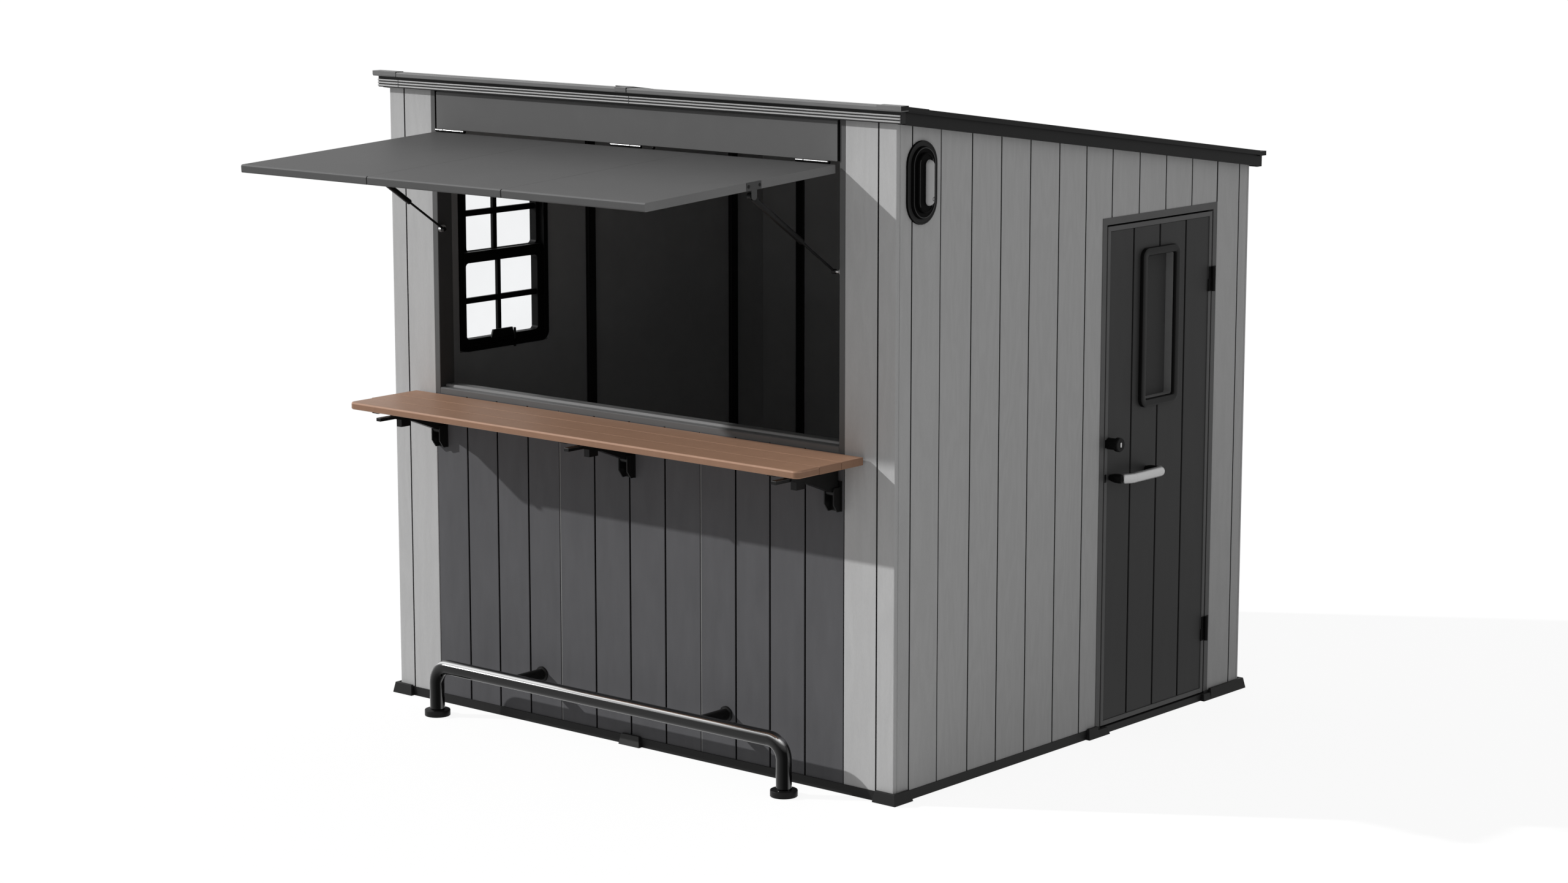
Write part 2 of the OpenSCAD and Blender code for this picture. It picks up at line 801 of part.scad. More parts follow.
// Bracket on the flap's side edge: a plate, and a lobe below it that holds the strut's pin
module flap_strut_brackets() {
    plate = [flap_half, flap_half + strut_plate_t];
    lobe_r = 1.2 * eye_r;
    reach = 3.4 * eye_r;
    color(steel) both_sides() on_flap() {
        block(plate, [-strut_along - reach, -strut_along + reach], [-flap_under, -flap_pin_out - 2]);
        block(plate, [-strut_along - lobe_r, -strut_along + lobe_r], [-strut_below, -flap_under]);
        rod_x(plate, -strut_along, -strut_below, lobe_r);
        rod_x([strut_x - eye_half - 2, plate[1]], -strut_along, -strut_below, strut_pin_r);
    }
}

// Strut: local Y runs from the flap's pivot to the pin that clips into the jamb's plate
module gas_strut() {
    translate([strut_x, pivot_y, strut_pivot_z]) rotate([strut_angle, 0, 0]) difference() {
        union() {
            rod_x([-eye_half, eye_half], 0, 0, eye_r);
            rotate([-90, 0, 0]) cylinder(r = barrel_r, h = barrel_l);
            rotate([-90, 0, 0]) cylinder(r = rod_r, h = strut_l);
            rod_x([-eye_half, eye_half], strut_l, 0, socket_r);
            rod_x([0, hatch_clear - stud_flange_t - side_gap - strut_x], strut_l, 0, stud_r);
        }
        rod_x([-2 * barrel_r, 2 * barrel_r], 0, 0, strut_pin_r + pin_gap);
    }
}

module strut_right() color(black) gas_strut();

module strut_left() color(black) mirror([1, 0, 0]) gas_strut();

// Plates on the jambs that hold the struts' end pins
module strut_studs() {
    color(steel) both_sides()
        translate([hatch_clear - stud_flange_t, stud_y + 1.25 * stud_flange_r, stud_z])
            along_x(stud_flange_t) rotate(90) pill(2 * stud_flange_r, 3 * stud_flange_r);
}

// Counter
module counter_planks() {
    back_y = front_y - counter_gap;
    half = counter_l / 2;
    color(brown) {
        for (i = [0, 1]) {
            y1 = back_y - i * (plank_w + plank_gap);
            block([-half, half], [y1 - plank_w, y1], [plank_z, counter_z]);
        }
        translate([0, back_y - 2 * (plank_w + plank_gap), plank_z]) linear_extrude(plank_t) {
            translate([-half, counter_r - plank_w]) square([counter_l, plank_w - counter_r]);
            translate([counter_r - half, -plank_w]) square([counter_l - 2 * counter_r, plank_w]);
            for (s = [-1, 1]) translate([s * (half - counter_r), counter_r - plank_w]) circle(counter_r);
        }
    }
}

// Places of the three brackets along the counter
bracket_xs = [-bracket_x, 0, bracket_x];

module counter_arms() {
    strip_t = 0.05 * pivot_drop;
    lever_z = plank_z - 0.35 * pivot_drop;
    channel_end = front_y - 0.74 * arm_reach;
    block_end = front_y - 0.655 * arm_reach;
    lever_y = [front_y - 0.955 * arm_reach, block_end];
    block_y = [block_end, front_y - 0.525 * arm_reach];
    knee = [front_y - 0.485 * arm_reach, plank_z - 0.525 * pivot_drop];
    block_x = 0.4 * arm_w;
    lever_x = 0.34 * arm_w;
    arm_back = bracket_y + arm_end_r;
    color(black)
        for (x = bracket_xs)
            translate([x, 0, 0]) difference() {
                union() {
                    prism_x([-arm_w / 2, arm_w / 2],
                        [[arm_back, plank_z], [front_y - arm_reach, plank_z],
                         [front_y - arm_reach, plank_z - strip_t], [channel_end, plank_z - strip_t],
                         [channel_end, lever_z], knee,
                         [bracket_y - arm_end_r, bracket_z], [arm_back, bracket_z]]);
                    rod_x([-arm_w / 2, arm_w / 2], bracket_y, bracket_z, arm_end_r);
                    block([-block_x, block_x], block_y, [plank_z - 0.67 * pivot_drop, lever_z + 2 * strip_t]);
                    block([-lever_x, lever_x], lever_y, [lever_z, lever_z + 2 * strip_t]);
                }
                rod_x([-arm_w, arm_w], bracket_y, bracket_z, bracket_pin_r + pin_gap);
            }
}

module counter_wall_plates() {
    cheek_x = arm_w / 2 + cheek_gap;
    cheek_y = front_y - cheek_out;
    color(black)
        for (x = bracket_xs)
            translate([x, 0, 0]) {
                block([-plate_w / 2, plate_w / 2], [front_y - plate_t, front_y],
                    [plate_bottom, plate_bottom + plate_h]);
                both_sides()
                    prism_x([cheek_x, cheek_x + cheek_t],
                        [[front_y, plate_bottom], [front_y - 20, plate_bottom], [cheek_y, plate_bottom + 25],
                         [cheek_y, cheek_top], [front_y, cheek_top]]);
                rod_x([-cheek_x - cheek_t, cheek_x + cheek_t], bracket_y, bracket_z, bracket_pin_r);
            }
}

// Foot rail
module foot_rail() {
    y = front_y - rail_out;
    bend_x = rail_l / 2 - rail_bend_r;
    bend_z = rail_z - rail_bend_r;
    color(steel) {
        rod_x([-bend_x, bend_x], y, rail_z, rail_r);
        both_sides() {
            translate([rail_l / 2, y, disc_t]) cylinder(r = rail_r, h = bend_z - disc_t);
            translate([bend_x, y, bend_z]) rotate([90, 0, 0])
                rotate_extrude(angle = 90) translate([rail_bend_r, 0]) circle(rail_r);
            translate([standoff_l / 2, y, rail_z]) rotate([-90, 0, 0]) cylinder(r = standoff_r, h = rail_out);
            translate([standoff_l / 2, front_y, rail_z]) rotate([90, 0, 0])
                cylinder(r = flange_r, h = flange_r / 4);
        }
    }
}

module foot_rail_discs() {
    color(black) both_sides()
        translate([rail_l / 2, front_y - rail_out, 0]) cylinder(r = disc_r, h = disc_t);
}

floor_panel();
base_front();
base_right();
base_rear();
base_left();
base_feet();
corner_front_left();
corner_front_right();
corner_rear_left();
corner_rear_right();
front_lower_wall();
right_wall_panel();
door_wall_strip();
door_wall_over();
left_wall_window_panel();
left_wall_rear_panel();
rear_wall();
hatch_jambs();
hatch_sill();
hatch_header();
door_jambs();
door_head();
roof_panel();
roof_seam_strip();
front_fascia();
rear_fascia();
right_fascia();
left_fascia();
window_frame();
window_glass();
wall_light_housing();
wall_light_lens();
flap_hinge_fixed();
strut_studs();
counter_wall_plates();
foot_rail();
foot_rail_discs();
door_hinge_fixed();
door_leaf();
door_window_rim();
door_window_glass();
door_handle_bar();
door_handle_legs();
door_lock();
door_hinge_moving();
awning_flap();
flap_hinge_moving();
flap_strut_brackets();
strut_left();
strut_right();
counter_planks();
counter_arms();
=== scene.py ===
"""Looks of the street kiosk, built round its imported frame."""
import json
from math import cos, pi, radians, sin, tan

import bmesh
import bpy
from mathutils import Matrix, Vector


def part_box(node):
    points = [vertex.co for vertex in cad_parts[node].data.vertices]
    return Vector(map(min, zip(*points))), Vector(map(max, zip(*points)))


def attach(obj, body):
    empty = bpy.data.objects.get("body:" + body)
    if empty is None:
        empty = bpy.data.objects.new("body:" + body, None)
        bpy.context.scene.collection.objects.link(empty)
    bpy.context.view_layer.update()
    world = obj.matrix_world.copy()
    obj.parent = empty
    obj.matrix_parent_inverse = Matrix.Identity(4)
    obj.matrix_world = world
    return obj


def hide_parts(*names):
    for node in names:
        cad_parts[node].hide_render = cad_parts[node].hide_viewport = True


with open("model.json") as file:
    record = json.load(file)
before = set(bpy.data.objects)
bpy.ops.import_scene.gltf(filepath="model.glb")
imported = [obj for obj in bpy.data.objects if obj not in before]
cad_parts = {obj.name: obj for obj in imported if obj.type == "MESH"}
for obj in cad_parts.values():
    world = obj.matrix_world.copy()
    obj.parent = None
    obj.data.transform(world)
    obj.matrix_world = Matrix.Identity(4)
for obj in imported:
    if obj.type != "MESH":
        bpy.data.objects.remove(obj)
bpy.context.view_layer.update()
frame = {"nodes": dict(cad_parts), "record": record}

# Sizes taken from the frame, in metres
CORNER_LO, CORNER_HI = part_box("corner_front_right")
FRONT_LO, FRONT_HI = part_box("front_lower_wall")
HALF_W = CORNER_HI.x
FRONT_Y = CORNER_LO.y
EAVE_Z = CORNER_HI.z
REAR_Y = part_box("corner_rear_right")[1].y
WALL_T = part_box("rear_wall")[1].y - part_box("rear_wall")[0].y
BASE_Z = FRONT_LO.z
HATCH_HALF = FRONT_HI.x
ROOF_FALL = tan(radians(7.9))


def under_roof(x, y):
    """Height of the roof's underside over a place."""
    return EAVE_Z - (y - FRONT_Y) * ROOF_FALL


# Node materials
def feed(tree, socket, value):
    """Gives an input a value, or links it to an output."""
    if isinstance(value, bpy.types.NodeSocket):
        tree.links.new(value, socket)
    else:
        socket.default_value = value


def add_node(tree, kind, **values):
    """New node with its inputs fed; a space in an input's name is written as an underscore."""
    made = tree.nodes.new("ShaderNode" + kind)
    for name, value in values.items():
        feed(tree, made.inputs[name.replace("_", " ")], value)
    return made


def math_node(tree, operation, *values):
    made = add_node(tree, "Math")
    made.operation = operation
    for i, value in enumerate(values):
        feed(tree, made.inputs[i], value)
    return made.outputs[0]


def mix_shaders(tree, factor, first, second):
    mix = add_node(tree, "MixShader", Fac=factor)
    feed(tree, mix.inputs[1], first.outputs[0])
    feed(tree, mix.inputs[2], second.outputs[0])
    return mix.outputs[0]


def new_material(name, **values):
    mat = bpy.data.materials.new(name)
    mat.use_nodes = True
    tree = mat.node_tree
    tree.nodes.clear()
    shader = add_node(tree, "BsdfPrincipled", **values)
    add_node(tree, "OutputMaterial", Surface=shader.outputs["BSDF"])
    return mat, tree, shader


def noise_node(tree, scale, stretch=(1, 1, 1), detail=4.0, rough=0.55):
    """Noise in the piece's own coordinates, stretched along its axes."""
    coord = add_node(tree, "TexCoord")
    mapping = add_node(tree, "Mapping", Vector=coord.outputs["Object"], Scale=stretch)
    noise = add_node(tree, "TexNoise", Vector=mapping.outputs["Vector"], Scale=scale, Detail=detail,
                     Roughness=rough)
    return noise.outputs["Fac"]


def grey(value):
    return (value, value, value)


def shade(colour, factor):
    """A colour, or a grey given as one number, made lighter or darker."""
    parts = colour if isinstance(colour, tuple) else grey(colour)
    return tuple(min(1.0, c * factor) for c in parts)


def colour_ramp(tree, factor, stops):
    """Colours between stops of (place, colour)."""
    ramp = add_node(tree, "ValToRGB", Fac=factor)
    elements = ramp.color_ramp.elements
    elements[0].position = stops[0][0]
    elements[1].position = stops[-1][0]
    elements[0].color = (*stops[0][1], 1.0)
    elements[1].color = (*stops[-1][1], 1.0)
    for place, colour in stops[1:-1]:
        elements.new(place).color = (*colour, 1.0)
    return ramp.outputs["Color"]


def uneven(tree, factor, colour, spread, start=0.3, end=0.7):
    """A colour that varies a little either way."""
    return colour_ramp(tree, factor, [(start, shade(colour, 1 - spread)), (end, shade(colour, 1 + spread))])


def add_bump(tree, shader, height, strength, distance):
    bump = add_node(tree, "Bump", Height=height, Strength=strength, Distance=distance)
    feed(tree, shader.inputs["Normal"], bump.outputs["Normal"])


def moulded(name, colour, rough=0.6, spread=0.06, scale=9.0, stretch=(1, 1, 1), bump=0.15, bump_scale=240.0,
            gloss=0.2, distance=0.0006):
    """Moulded or painted surface with slight unevenness and a fine grain."""
    mat, tree, shader = new_material(name, Roughness=rough, Specular_IOR_Level=gloss)
    tone = noise_node(tree, scale, stretch)
    feed(tree, shader.inputs["Base Color"], uneven(tree, tone, colour, spread))
    add_bump(tree, shader, noise_node(tree, bump_scale, detail=2.0), bump, distance)
    return mat


def grained(name, colour, rough=0.6, spread=0.10, stretch=(9.0, 9.0, 0.55), bump=0.35, distance=0.001,
            rings=9.0, gloss=0.2):
    """Board with an embossed wood grain that runs up the wall."""
    mat, tree, shader = new_material(name, Roughness=rough, Specular_IOR_Level=gloss)
    bend = noise_node(tree, 2.6, (3.2, 3.2, 0.5), detail=3.0)
    figure = math_node(tree, "PINGPONG", math_node(tree, "MULTIPLY", bend, rings), 0.5)
    fibre = noise_node(tree, 30.0, stretch, detail=5.0, rough=0.7)
    both = math_node(tree, "MULTIPLY_ADD", figure, 0.55, fibre)
    feed(tree, shader.inputs["Base Color"], uneven(tree, both, colour, spread, 0.4, 0.95))
    add_bump(tree, shader, both, bump, distance)
    return mat


def steel(name, colour, rough):
    """Bare or plated metal with faint brushing."""
    mat, tree, shader = new_material(name, Metallic=1.0)
    tone = noise_node(tree, 60.0, (1, 6, 6))
    feed(tree, shader.inputs["Base Color"], uneven(tree, tone, colour, 0.05))
    rise = add_node(tree, "MapRange", Value=tone, To_Min=rough * 0.85, To_Max=rough * 1.15)
    feed(tree, shader.inputs["Roughness"], rise.outputs["Result"])
    return mat


def painted_shine_metal(name, stops, rough, side_stops=((0.0, 0.01), (1.0, 0.01))):
    """Metal with a painted reflection and highlight in its colour: brightness set by how far it faces up and
    to one side, as (place, brightness) stops.
    """
    mat, tree, shader = new_material(name, Metallic=1.0, Roughness=rough)
    facing = add_node(tree, "NewGeometry").outputs["Normal"]
    split = add_node(tree, "SeparateXYZ", Vector=facing)
    aside = add_node(tree, "VectorMath")
    aside.operation = "DOT_PRODUCT"
    feed(tree, aside.inputs[0], facing)
    feed(tree, aside.inputs[1], (0.769, 0.639, 0.0))
    spread = add_node(tree, "MapRange", Value=aside.outputs["Value"], From_Min=-1.0)
    both = add_node(tree, "Mix")
    both.data_type = "RGBA"
    both.blend_type = "LIGHTEN"
    both.inputs["Factor"].default_value = 1.0
    for i, factor, places in ((6, split.outputs["Z"], stops), (7, spread.outputs["Result"], side_stops)):
        greys = [(place, grey(value)) for place, value in places]
        feed(tree, both.inputs[i], colour_ramp(tree, factor, greys))
    feed(tree, shader.inputs["Base Color"], both.outputs[2])
    return mat


def pane(name, tint, gloss, level=0.5, body=0.010, rough=0.08):
    """Thin pane: see-through by its tint, with a share of reflection."""
    mat, tree, shader = new_material(name, Base_Color=(*grey(body), 1.0), Roughness=rough,
                                     Specular_IOR_Level=level)
    tone = colour_ramp(tree, noise_node(tree, 3.0), [(0.3, shade(tint, 0.97)), (0.7, tint)])
    clear = add_node(tree, "BsdfTransparent", Color=tone)
    feed(tree, tree.nodes["Material Output"].inputs["Surface"], mix_shaders(tree, gloss, clear, shader))
    return mat


PALE = grained("corner_panel", 0.52, 0.62, 0.05, (14.0, 14.0, 2.5), 0.45, 0.0012, 7.0)
WALL = grained("wall_boards", 0.52, 0.6, 0.05, bump=0.28)
# Groove sides and floors painted dark as painted shade in the grooves.
WALL_GROOVE_SHADE = moulded("wall_groove_painted_shade", 0.030, 0.7, gloss=0.03)
PALE_GROOVE_SHADE = moulded("pale_groove_painted_shade", 0.060, 0.7, gloss=0.03)
FRONT = moulded("front_boards", (0.12, 0.12, 0.126), 0.6, 0.06, 18.0, (1, 1, 0.25), 0.3, 190.0, 0.02, 0.0008)
# Near black as painted shade: front wall grooves, the gaps beside the hatch header and the door slab behind
# the door's grooves.
PAINTED_SHADE_BLACK = moulded("painted_shade_black", 0.003, 0.7, gloss=0.0)
STRIP = moulded("joint_strip", 0.24, 0.5, 0.05)
TRIM = moulded("hatch_frame", 0.150, 0.42, 0.03)
# Lighter copy of the hatch frame colour, a painted highlight on the sill's front edge.
SILL_HIGHLIGHT = moulded("sill_edge_painted_highlight", 0.30, 0.4, 0.03)
# The next two are the hatch frame's colour darkened as painted shade: the first for the hatch posts' inner
# faces, the second for the posts.
REVEAL_SHADED = moulded("hatch_reveal_painted_shade", 0.075, 0.6, 0.05, gloss=0.0)
JAMB_SHADED = moulded("hatch_jamb", 0.125, 0.45, 0.03, gloss=0.12)
HEADER = moulded("hatch_header", 0.145, 0.6, 0.03)
FLAP = moulded("flap_board", 0.094, 0.5, 0.03, 6.0, gloss=0.08)
# Lighter copies of the flap board's colour: painted light on the front and side edges, a painted highlight on
# the rounded top front edge.
FLAP_FACE_LIT = moulded("flap_front_edge_painted_light", 0.108, 0.5, 0.03, 6.0, gloss=0.08)
FLAP_ROUND_HIGHLIGHT = moulded("flap_round_edge_painted_highlight", 0.175, 0.5, 0.03, 6.0, gloss=0.08)
FLAP_SIDE_LIT = moulded("flap_side_edge_painted_light", 0.235, 0.5, 0.03, 6.0, gloss=0.08)
INSIDE = moulded("inside_faces", 0.40, 0.7, 0.05, 6.0)
FLOOR = moulded("floor_sheet", 0.12, 0.7, 0.1, 30.0)
POST = moulded("inside_posts", 0.008, 0.5)
BASE = moulded("base_plastic", 0.014, 0.55, gloss=0.14)
# Lighter copy of the base colour, painted light on the middle feet's front and back faces.
FOOT_FACE_LIT = moulded("foot_face_painted_light", 0.042, 0.55, gloss=0.14)
DOOR = moulded("door_boards", 0.034, 0.55, 0.05, 20.0, (1, 1, 0.3), 0.25, 170.0)
DOOR_FRAME = moulded("door_frame", 0.098, 0.45)
ROOF = moulded("roof_sheet", 0.060, 0.6)
FASCIA = moulded("fascia_metal", 0.016, 0.5, gloss=0.09)
BETWEEN = moulded("fascia_board", 0.036, 0.5, gloss=0.09)
CAP = moulded("fascia_cap", 0.195, 0.5)
RIDGE = moulded("fascia_ridge", 0.42, 0.35, 0.03)
BLACK = moulded("black_frame", 0.006, 0.45, gloss=0.06)
LAMP = moulded("lamp_housing", 0.003, 0.45, gloss=0.02)
# Lighter copies of the black housing: a painted highlight on the upper steps' outward faces, painted light on
# the first step's face.
LAMP_EDGE_HIGHLIGHT = moulded("lamp_edges_painted_highlight", 0.045, 0.4, gloss=0.1)
LAMP_RING_LIT = moulded("lamp_flange_painted_light", 0.030, 0.5, gloss=0.06)
RIM = moulded("rim_face", 0.024, 0.5, gloss=0.1)
# Painted light: the window reveal's pale tone stands for the sun on it.
RIM_REVEAL_LIT = moulded("rim_reveal_painted_light", 0.26, 0.5, gloss=0.1)
BLACK_METAL = moulded("black_metal", 0.010, 0.35, gloss=0.12)
DOOR_BLACK = moulded("door_fittings", 0.006, 0.4, gloss=0.06)
LEVER_TOP = moulded("lever_tops", 0.05, 0.4, gloss=0.2)
SATIN = steel("satin_steel", 0.45, 0.40)
HANDLE = steel("handle_steel", 0.42, 0.42)
# Painted reflection and highlight: a bright band on the rail's upward faces, a light line down one side of
# its posts, and a bright top on the hinges.
RAIL_PAINTED_SHINE = [(0.30, 0.004), (0.54, 0.06), (0.63, 0.35), (0.71, 0.82), (0.79, 0.82), (0.86, 0.30),
              (0.93, 0.14), (0.98, 0.06)]
POST_PAINTED_SHINE = [(0.0, 0.09), (0.1, 0.045), (0.3, 0.016), (0.5, 0.005), (0.72, 0.004), (0.79, 0.05),
              (0.83, 0.13), (0.88, 0.06), (0.94, 0.015), (1.0, 0.03)]
HINGE_PAINTED_SHINE = [(0.20, 0.02), (0.50, 0.30), (0.66, 1.0), (0.78, 0.50), (0.95, 0.10)]
RAIL_STEEL_PAINTED_SHINE = painted_shine_metal("rail_steel", RAIL_PAINTED_SHINE, 0.14, POST_PAINTED_SHINE)
HINGE_STEEL_PAINTED_SHINE = painted_shine_metal("hinge_steel_painted_shine", HINGE_PAINTED_SHINE, 0.25)
LENS = moulded("lamp_lens", 0.54, 0.25, 0.03)
PLATE = moulded("end_plate", 0.45, 0.45, 0.04)
GLASS = pane("window_glass", (0.98, 0.985, 0.99), 0.03)
DARK_GLASS = pane("door_glass", (0.20, 0.20, 0.21), 0.97, 0.05, 0.075, 0.6)


def wood(name, factor, rough, gloss):
    """Brown plank, its grain running along the counter."""
    brown = shade((0.450, 0.262, 0.172), factor)
    return grained(name, brown, rough, 0.05, (0.4, 12.0, 12.0), 0.10, 0.0006, 5.0, gloss)


COUNTER = wood("counter_wood", 1.0, 0.46, 0.16)
# Copies of the counter wood: darkened as painted shade on the plank sides, lightened as a painted highlight
# on the rounded top front edge.
COUNTER_FACE_SHADED = wood("counter_front_painted_shade", 0.72, 0.5, 0.1)
COUNTER_EDGE_HIGHLIGHT = wood("counter_edge_painted_highlight", 1.08, 0.4, 0.3)


# Outlines
def circle(sides):
    return [2 * pi * i / sides for i in range(sides)]


def arc(a, b, r, begin, end, steps):
    """Points on an arc about a, b, between two angles in degrees."""
    turns = [radians(begin + (end - begin) * i / steps) for i in range(steps + 1)]
    return [(a + r * cos(t), b + r * sin(t)) for t in turns]


def rectangle(a0, a1, b0, b1):
    return [(a0, b0), (a1, b0), (a1, b1), (a0, b1)]


def round_box(w, h, r, steps=6):
    """Outline of a rounded rectangle about the origin."""
    points = []
    for sa, sb, begin in ((1, 1, 0), (-1, 1, 90), (-1, -1, 180), (1, -1, 270)):
        points += arc(sa * (w / 2 - r), sb * (h / 2 - r), r, begin, begin + 90, steps)
    return points


def stadium(w, h, steps=18):
    """Outline of an upright oval with straight sides."""
    lift = (h - w) / 2
    return arc(0, lift, w / 2, 0, 180, steps) + arc(0, -lift, w / 2, 180, 360, steps)


# Mesh helpers
def add_to_scene(name, data):
    thing = bpy.data.objects.new(name, data)
    bpy.context.scene.collection.objects.link(thing)
    return thing


def soften(piece, width):
    """Bevels the sharp edges of a piece."""
    edges = piece.modifiers.new("edges", "BEVEL")
    edges.width = width
    edges.segments = 2
    edges.limit_method = "ANGLE"
    edges.angle_limit = radians(40)


class Shape:
    """Gathers closed solids into one piece."""

    def __init__(self):
        self.verts = []
        self.faces = []

    def rings(self, rings, close=True):
        """Joins rings of points in order, with a cap on both ends, or with the last joined to the first."""
        count = len(rings[0])
        start = len(self.verts)
        last = start + (len(rings) - 1) * count
        for ring in rings:
            self.verts.extend(tuple(p) for p in ring)
        pairs = [(a, a + count) for a in range(start, last, count)]
        if not close:
            pairs.append((last, start))
        for a, b in pairs:
            for i in range(count):
                j = (i + 1) % count
                self.faces.append((a + i, a + j, b + j, b + i))
        if close:
            self.faces.append(tuple(range(start + count - 1, start - 1, -1)))
            self.faces.append(tuple(range(last, last + count)))
        return self

    def wall(self, plan, z0, top):
        """Plan outline carried up from z0 to a height that depends on the place."""
        return self.rings([[(x, y, z0) for x, y in plan], [(x, y, top(x, y)) for x, y in plan]])

    def block(self, lo, hi):
        (x0, y0, z0), (x1, y1, z1) = lo, hi
        return self.wall(rectangle(x0, x1, y0, y1), z0, lambda x, y: z1)

    def prism(self, outline, x0, x1):
        """Outline in y and z, drawn out along x."""
        return self.rings([[(x, y, z) for y, z in outline] for x in (x0, x1)])

    def frame(self, outer, inner, x0, x1, y=0.0, z=0.0):
        """Frame between two outlines of equal length, drawn out along x."""
        order = ((outer, x0), (outer, x1), (inner, x1), (inner, x0))
        return self.rings([[(x, y + a, z + b) for a, b in outline] for outline, x in order], close=False)

    def lathe(self, start, axis, profile, sides=40):
        """Profile of (distance along the axis, radius) turned round the axis."""
        start = Vector(start)
        axis = Vector(axis).normalized()
        turn = axis.to_track_quat("Z", "Y").to_matrix()
        ring = [turn @ Vector((cos(t), sin(t), 0)) for t in circle(sides)]
        return self.rings([[start + axis * d + p * r for p in ring] for d, r in profile])

    def sweep(self, points, radii, across, sides=40):
        """Tube along a path, with a radius at each point; across is square to the path's plane."""
        rings = []
        for i, p in enumerate(points):
            ahead = points[min(i + 1, len(points) - 1)] - points[max(i - 1, 0)]
            up = ahead.normalized().cross(across)
            rings.append([p + (across * cos(t) + up * sin(t)) * radii[i] for t in circle(sides)])
        return self.rings(rings)

    def piece(self, name, mats, slot, node=None, body="building", bevel=0.0, smooth=False):
        """Makes the piece: its materials, the node it stands for and the body it rides; the slot is not used.
        """
        mesh = bpy.data.meshes.new(name)
        mesh.from_pydata(self.verts, [], self.faces)
        mesh.validate()
        bm = bmesh.new()
        bm.from_mesh(mesh)
        bmesh.ops.recalc_face_normals(bm, faces=bm.faces)
        bm.to_mesh(mesh)
        bm.free()
        for mat in mats if isinstance(mats, list) else [mats]:
            mesh.materials.append(mat)
        if smooth:
            mesh.shade_smooth()
            mesh.set_sharp_from_angle(angle=radians(35))
        piece = add_to_scene(name, mesh)
        if bevel:
            soften(piece, bevel)
        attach(piece, body)
        if node:
            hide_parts(node)
        return piece


def paint_faces(piece, index, test):
    """Gives the faces that pass a test another of the piece's materials."""
    for face in piece.data.polygons:
        if test(face.center, face.normal):
            face.material_index = index


# Boards of the walls
GROOVE = 0.006
GROOVE_DEPTH = 0.007
EDGE = 0.0015
HALF_GROOVE = GROOVE / 2

# For each wall: the place of a point along and in from the wall, how deep a place lies, and the way in
SIDES = {
    "front": (lambda a, t: (a, FRONT_Y + t), lambda c: c.y - FRONT_Y, (0, 1, 0)),
    "rear": (lambda a, t: (a, REAR_Y - t), lambda c: REAR_Y - c.y, (0, -1, 0)),
    "right": (lambda a, t: (HALF_W - t, a), lambda c: HALF_W - c.x, (-1, 0, 0)),
    "left": (lambda a, t: (-HALF_W + t, a), lambda c: c.x + HALF_W, (1, 0, 0)),
}


def board_plan(a, b, plain):
    """Section of one board, along the wall and in from its face, with half a groove on each side."""
    g = HALF_GROOVE
    d = GROOVE_DEPTH
    left = [(a, d), (a + g, d), (a + g, EDGE), (a + g + EDGE, 0)]
    right = [(b - g - EDGE, 0), (b - g, EDGE), (b - g, d), (b, d)]
    if a in plain:
        left = [(a, 0)]
    if b in plain:
        right = [(b, 0)]
    return left + right + [(b, WALL_T), (a, WALL_T)]


def in_groove(depth):
    return 0.0016 < depth < 0.012


def paint_wall(piece, side):
    """Paints a wall's inner face, and the sides and floors of its grooves dark as painted shade."""
    depth, inward = SIDES[side][1:]
    paint_faces(piece, 1, lambda c, n: n.dot(Vector(inward)) > 0.7 and depth(c) > 0.02)
    paint_faces(piece, 2, lambda c, n: abs(n.z) < 0.5 and in_groove(depth(c)))


def board_wall(name, side, cuts, node, z0=BASE_Z, top=under_roof, mats=(WALL, WALL_GROOVE_SHADE),
               slot="wall_boards", plain=()):
    place = SIDES[side][0]
    shape = Shape()
    for a, b in zip(cuts, cuts[1:]):
        shape.wall([place(*p) for p in board_plan(a, b, plain)], z0, top)
    paint_wall(shape.piece(name, [mats[0], INSIDE, mats[1]], slot, node), side)


FRONT_CUTS = [-HATCH_HALF, -0.778, -0.631, -0.482, -0.331, -0.167, -0.005, 0.156, 0.315, 0.469, 0.617, 0.767,
              HATCH_HALF]
REAR_CUTS = [HATCH_HALF * (i / 6 - 1) for i in range(13)]
PANEL_Y0, PANEL_Y1 = [v.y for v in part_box("right_wall_panel")]
OVER_LO, OVER_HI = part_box("door_wall_over")
DOOR_Y0, DOOR_Y1 = OVER_LO.y, OVER_HI.y
OVER_CUTS = [DOOR_Y0, 0.162, 0.322, 0.482, 0.642, DOOR_Y1]
SIDE_CUTS = [PANEL_Y0, -0.618, -0.462, -0.304, -0.143, PANEL_Y1]
board_wall("front_wall_boards", "front", FRONT_CUTS, "front_lower_wall", top=lambda x, y: FRONT_HI.z,
           mats=(FRONT, PAINTED_SHADE_BLACK), slot="front_boards")
board_wall("rear_wall_boards", "rear", REAR_CUTS, "rear_wall")
board_wall("right_wall_boards", "right", SIDE_CUTS, "right_wall_panel")
board_wall("door_strip_board", "right", [PANEL_Y1, DOOR_Y0], "door_wall_strip", plain=(DOOR_Y0,))
board_wall("over_door_boards", "right", OVER_CUTS, "door_wall_over", OVER_LO.z, plain=(DOOR_Y0,))
board_wall("left_rear_boards", "left", [PANEL_Y1] + OVER_CUTS[1:], "left_wall_rear_panel")

# Left wall panel with its window hole: full boards beside the hole, short ones under and over it
WIN_LO, WIN_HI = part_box("window_frame")
WIN_Y0, WIN_Y1 = WIN_LO.y, WIN_HI.y
WIN_Z0, WIN_Z1 = WIN_LO.z, WIN_HI.z


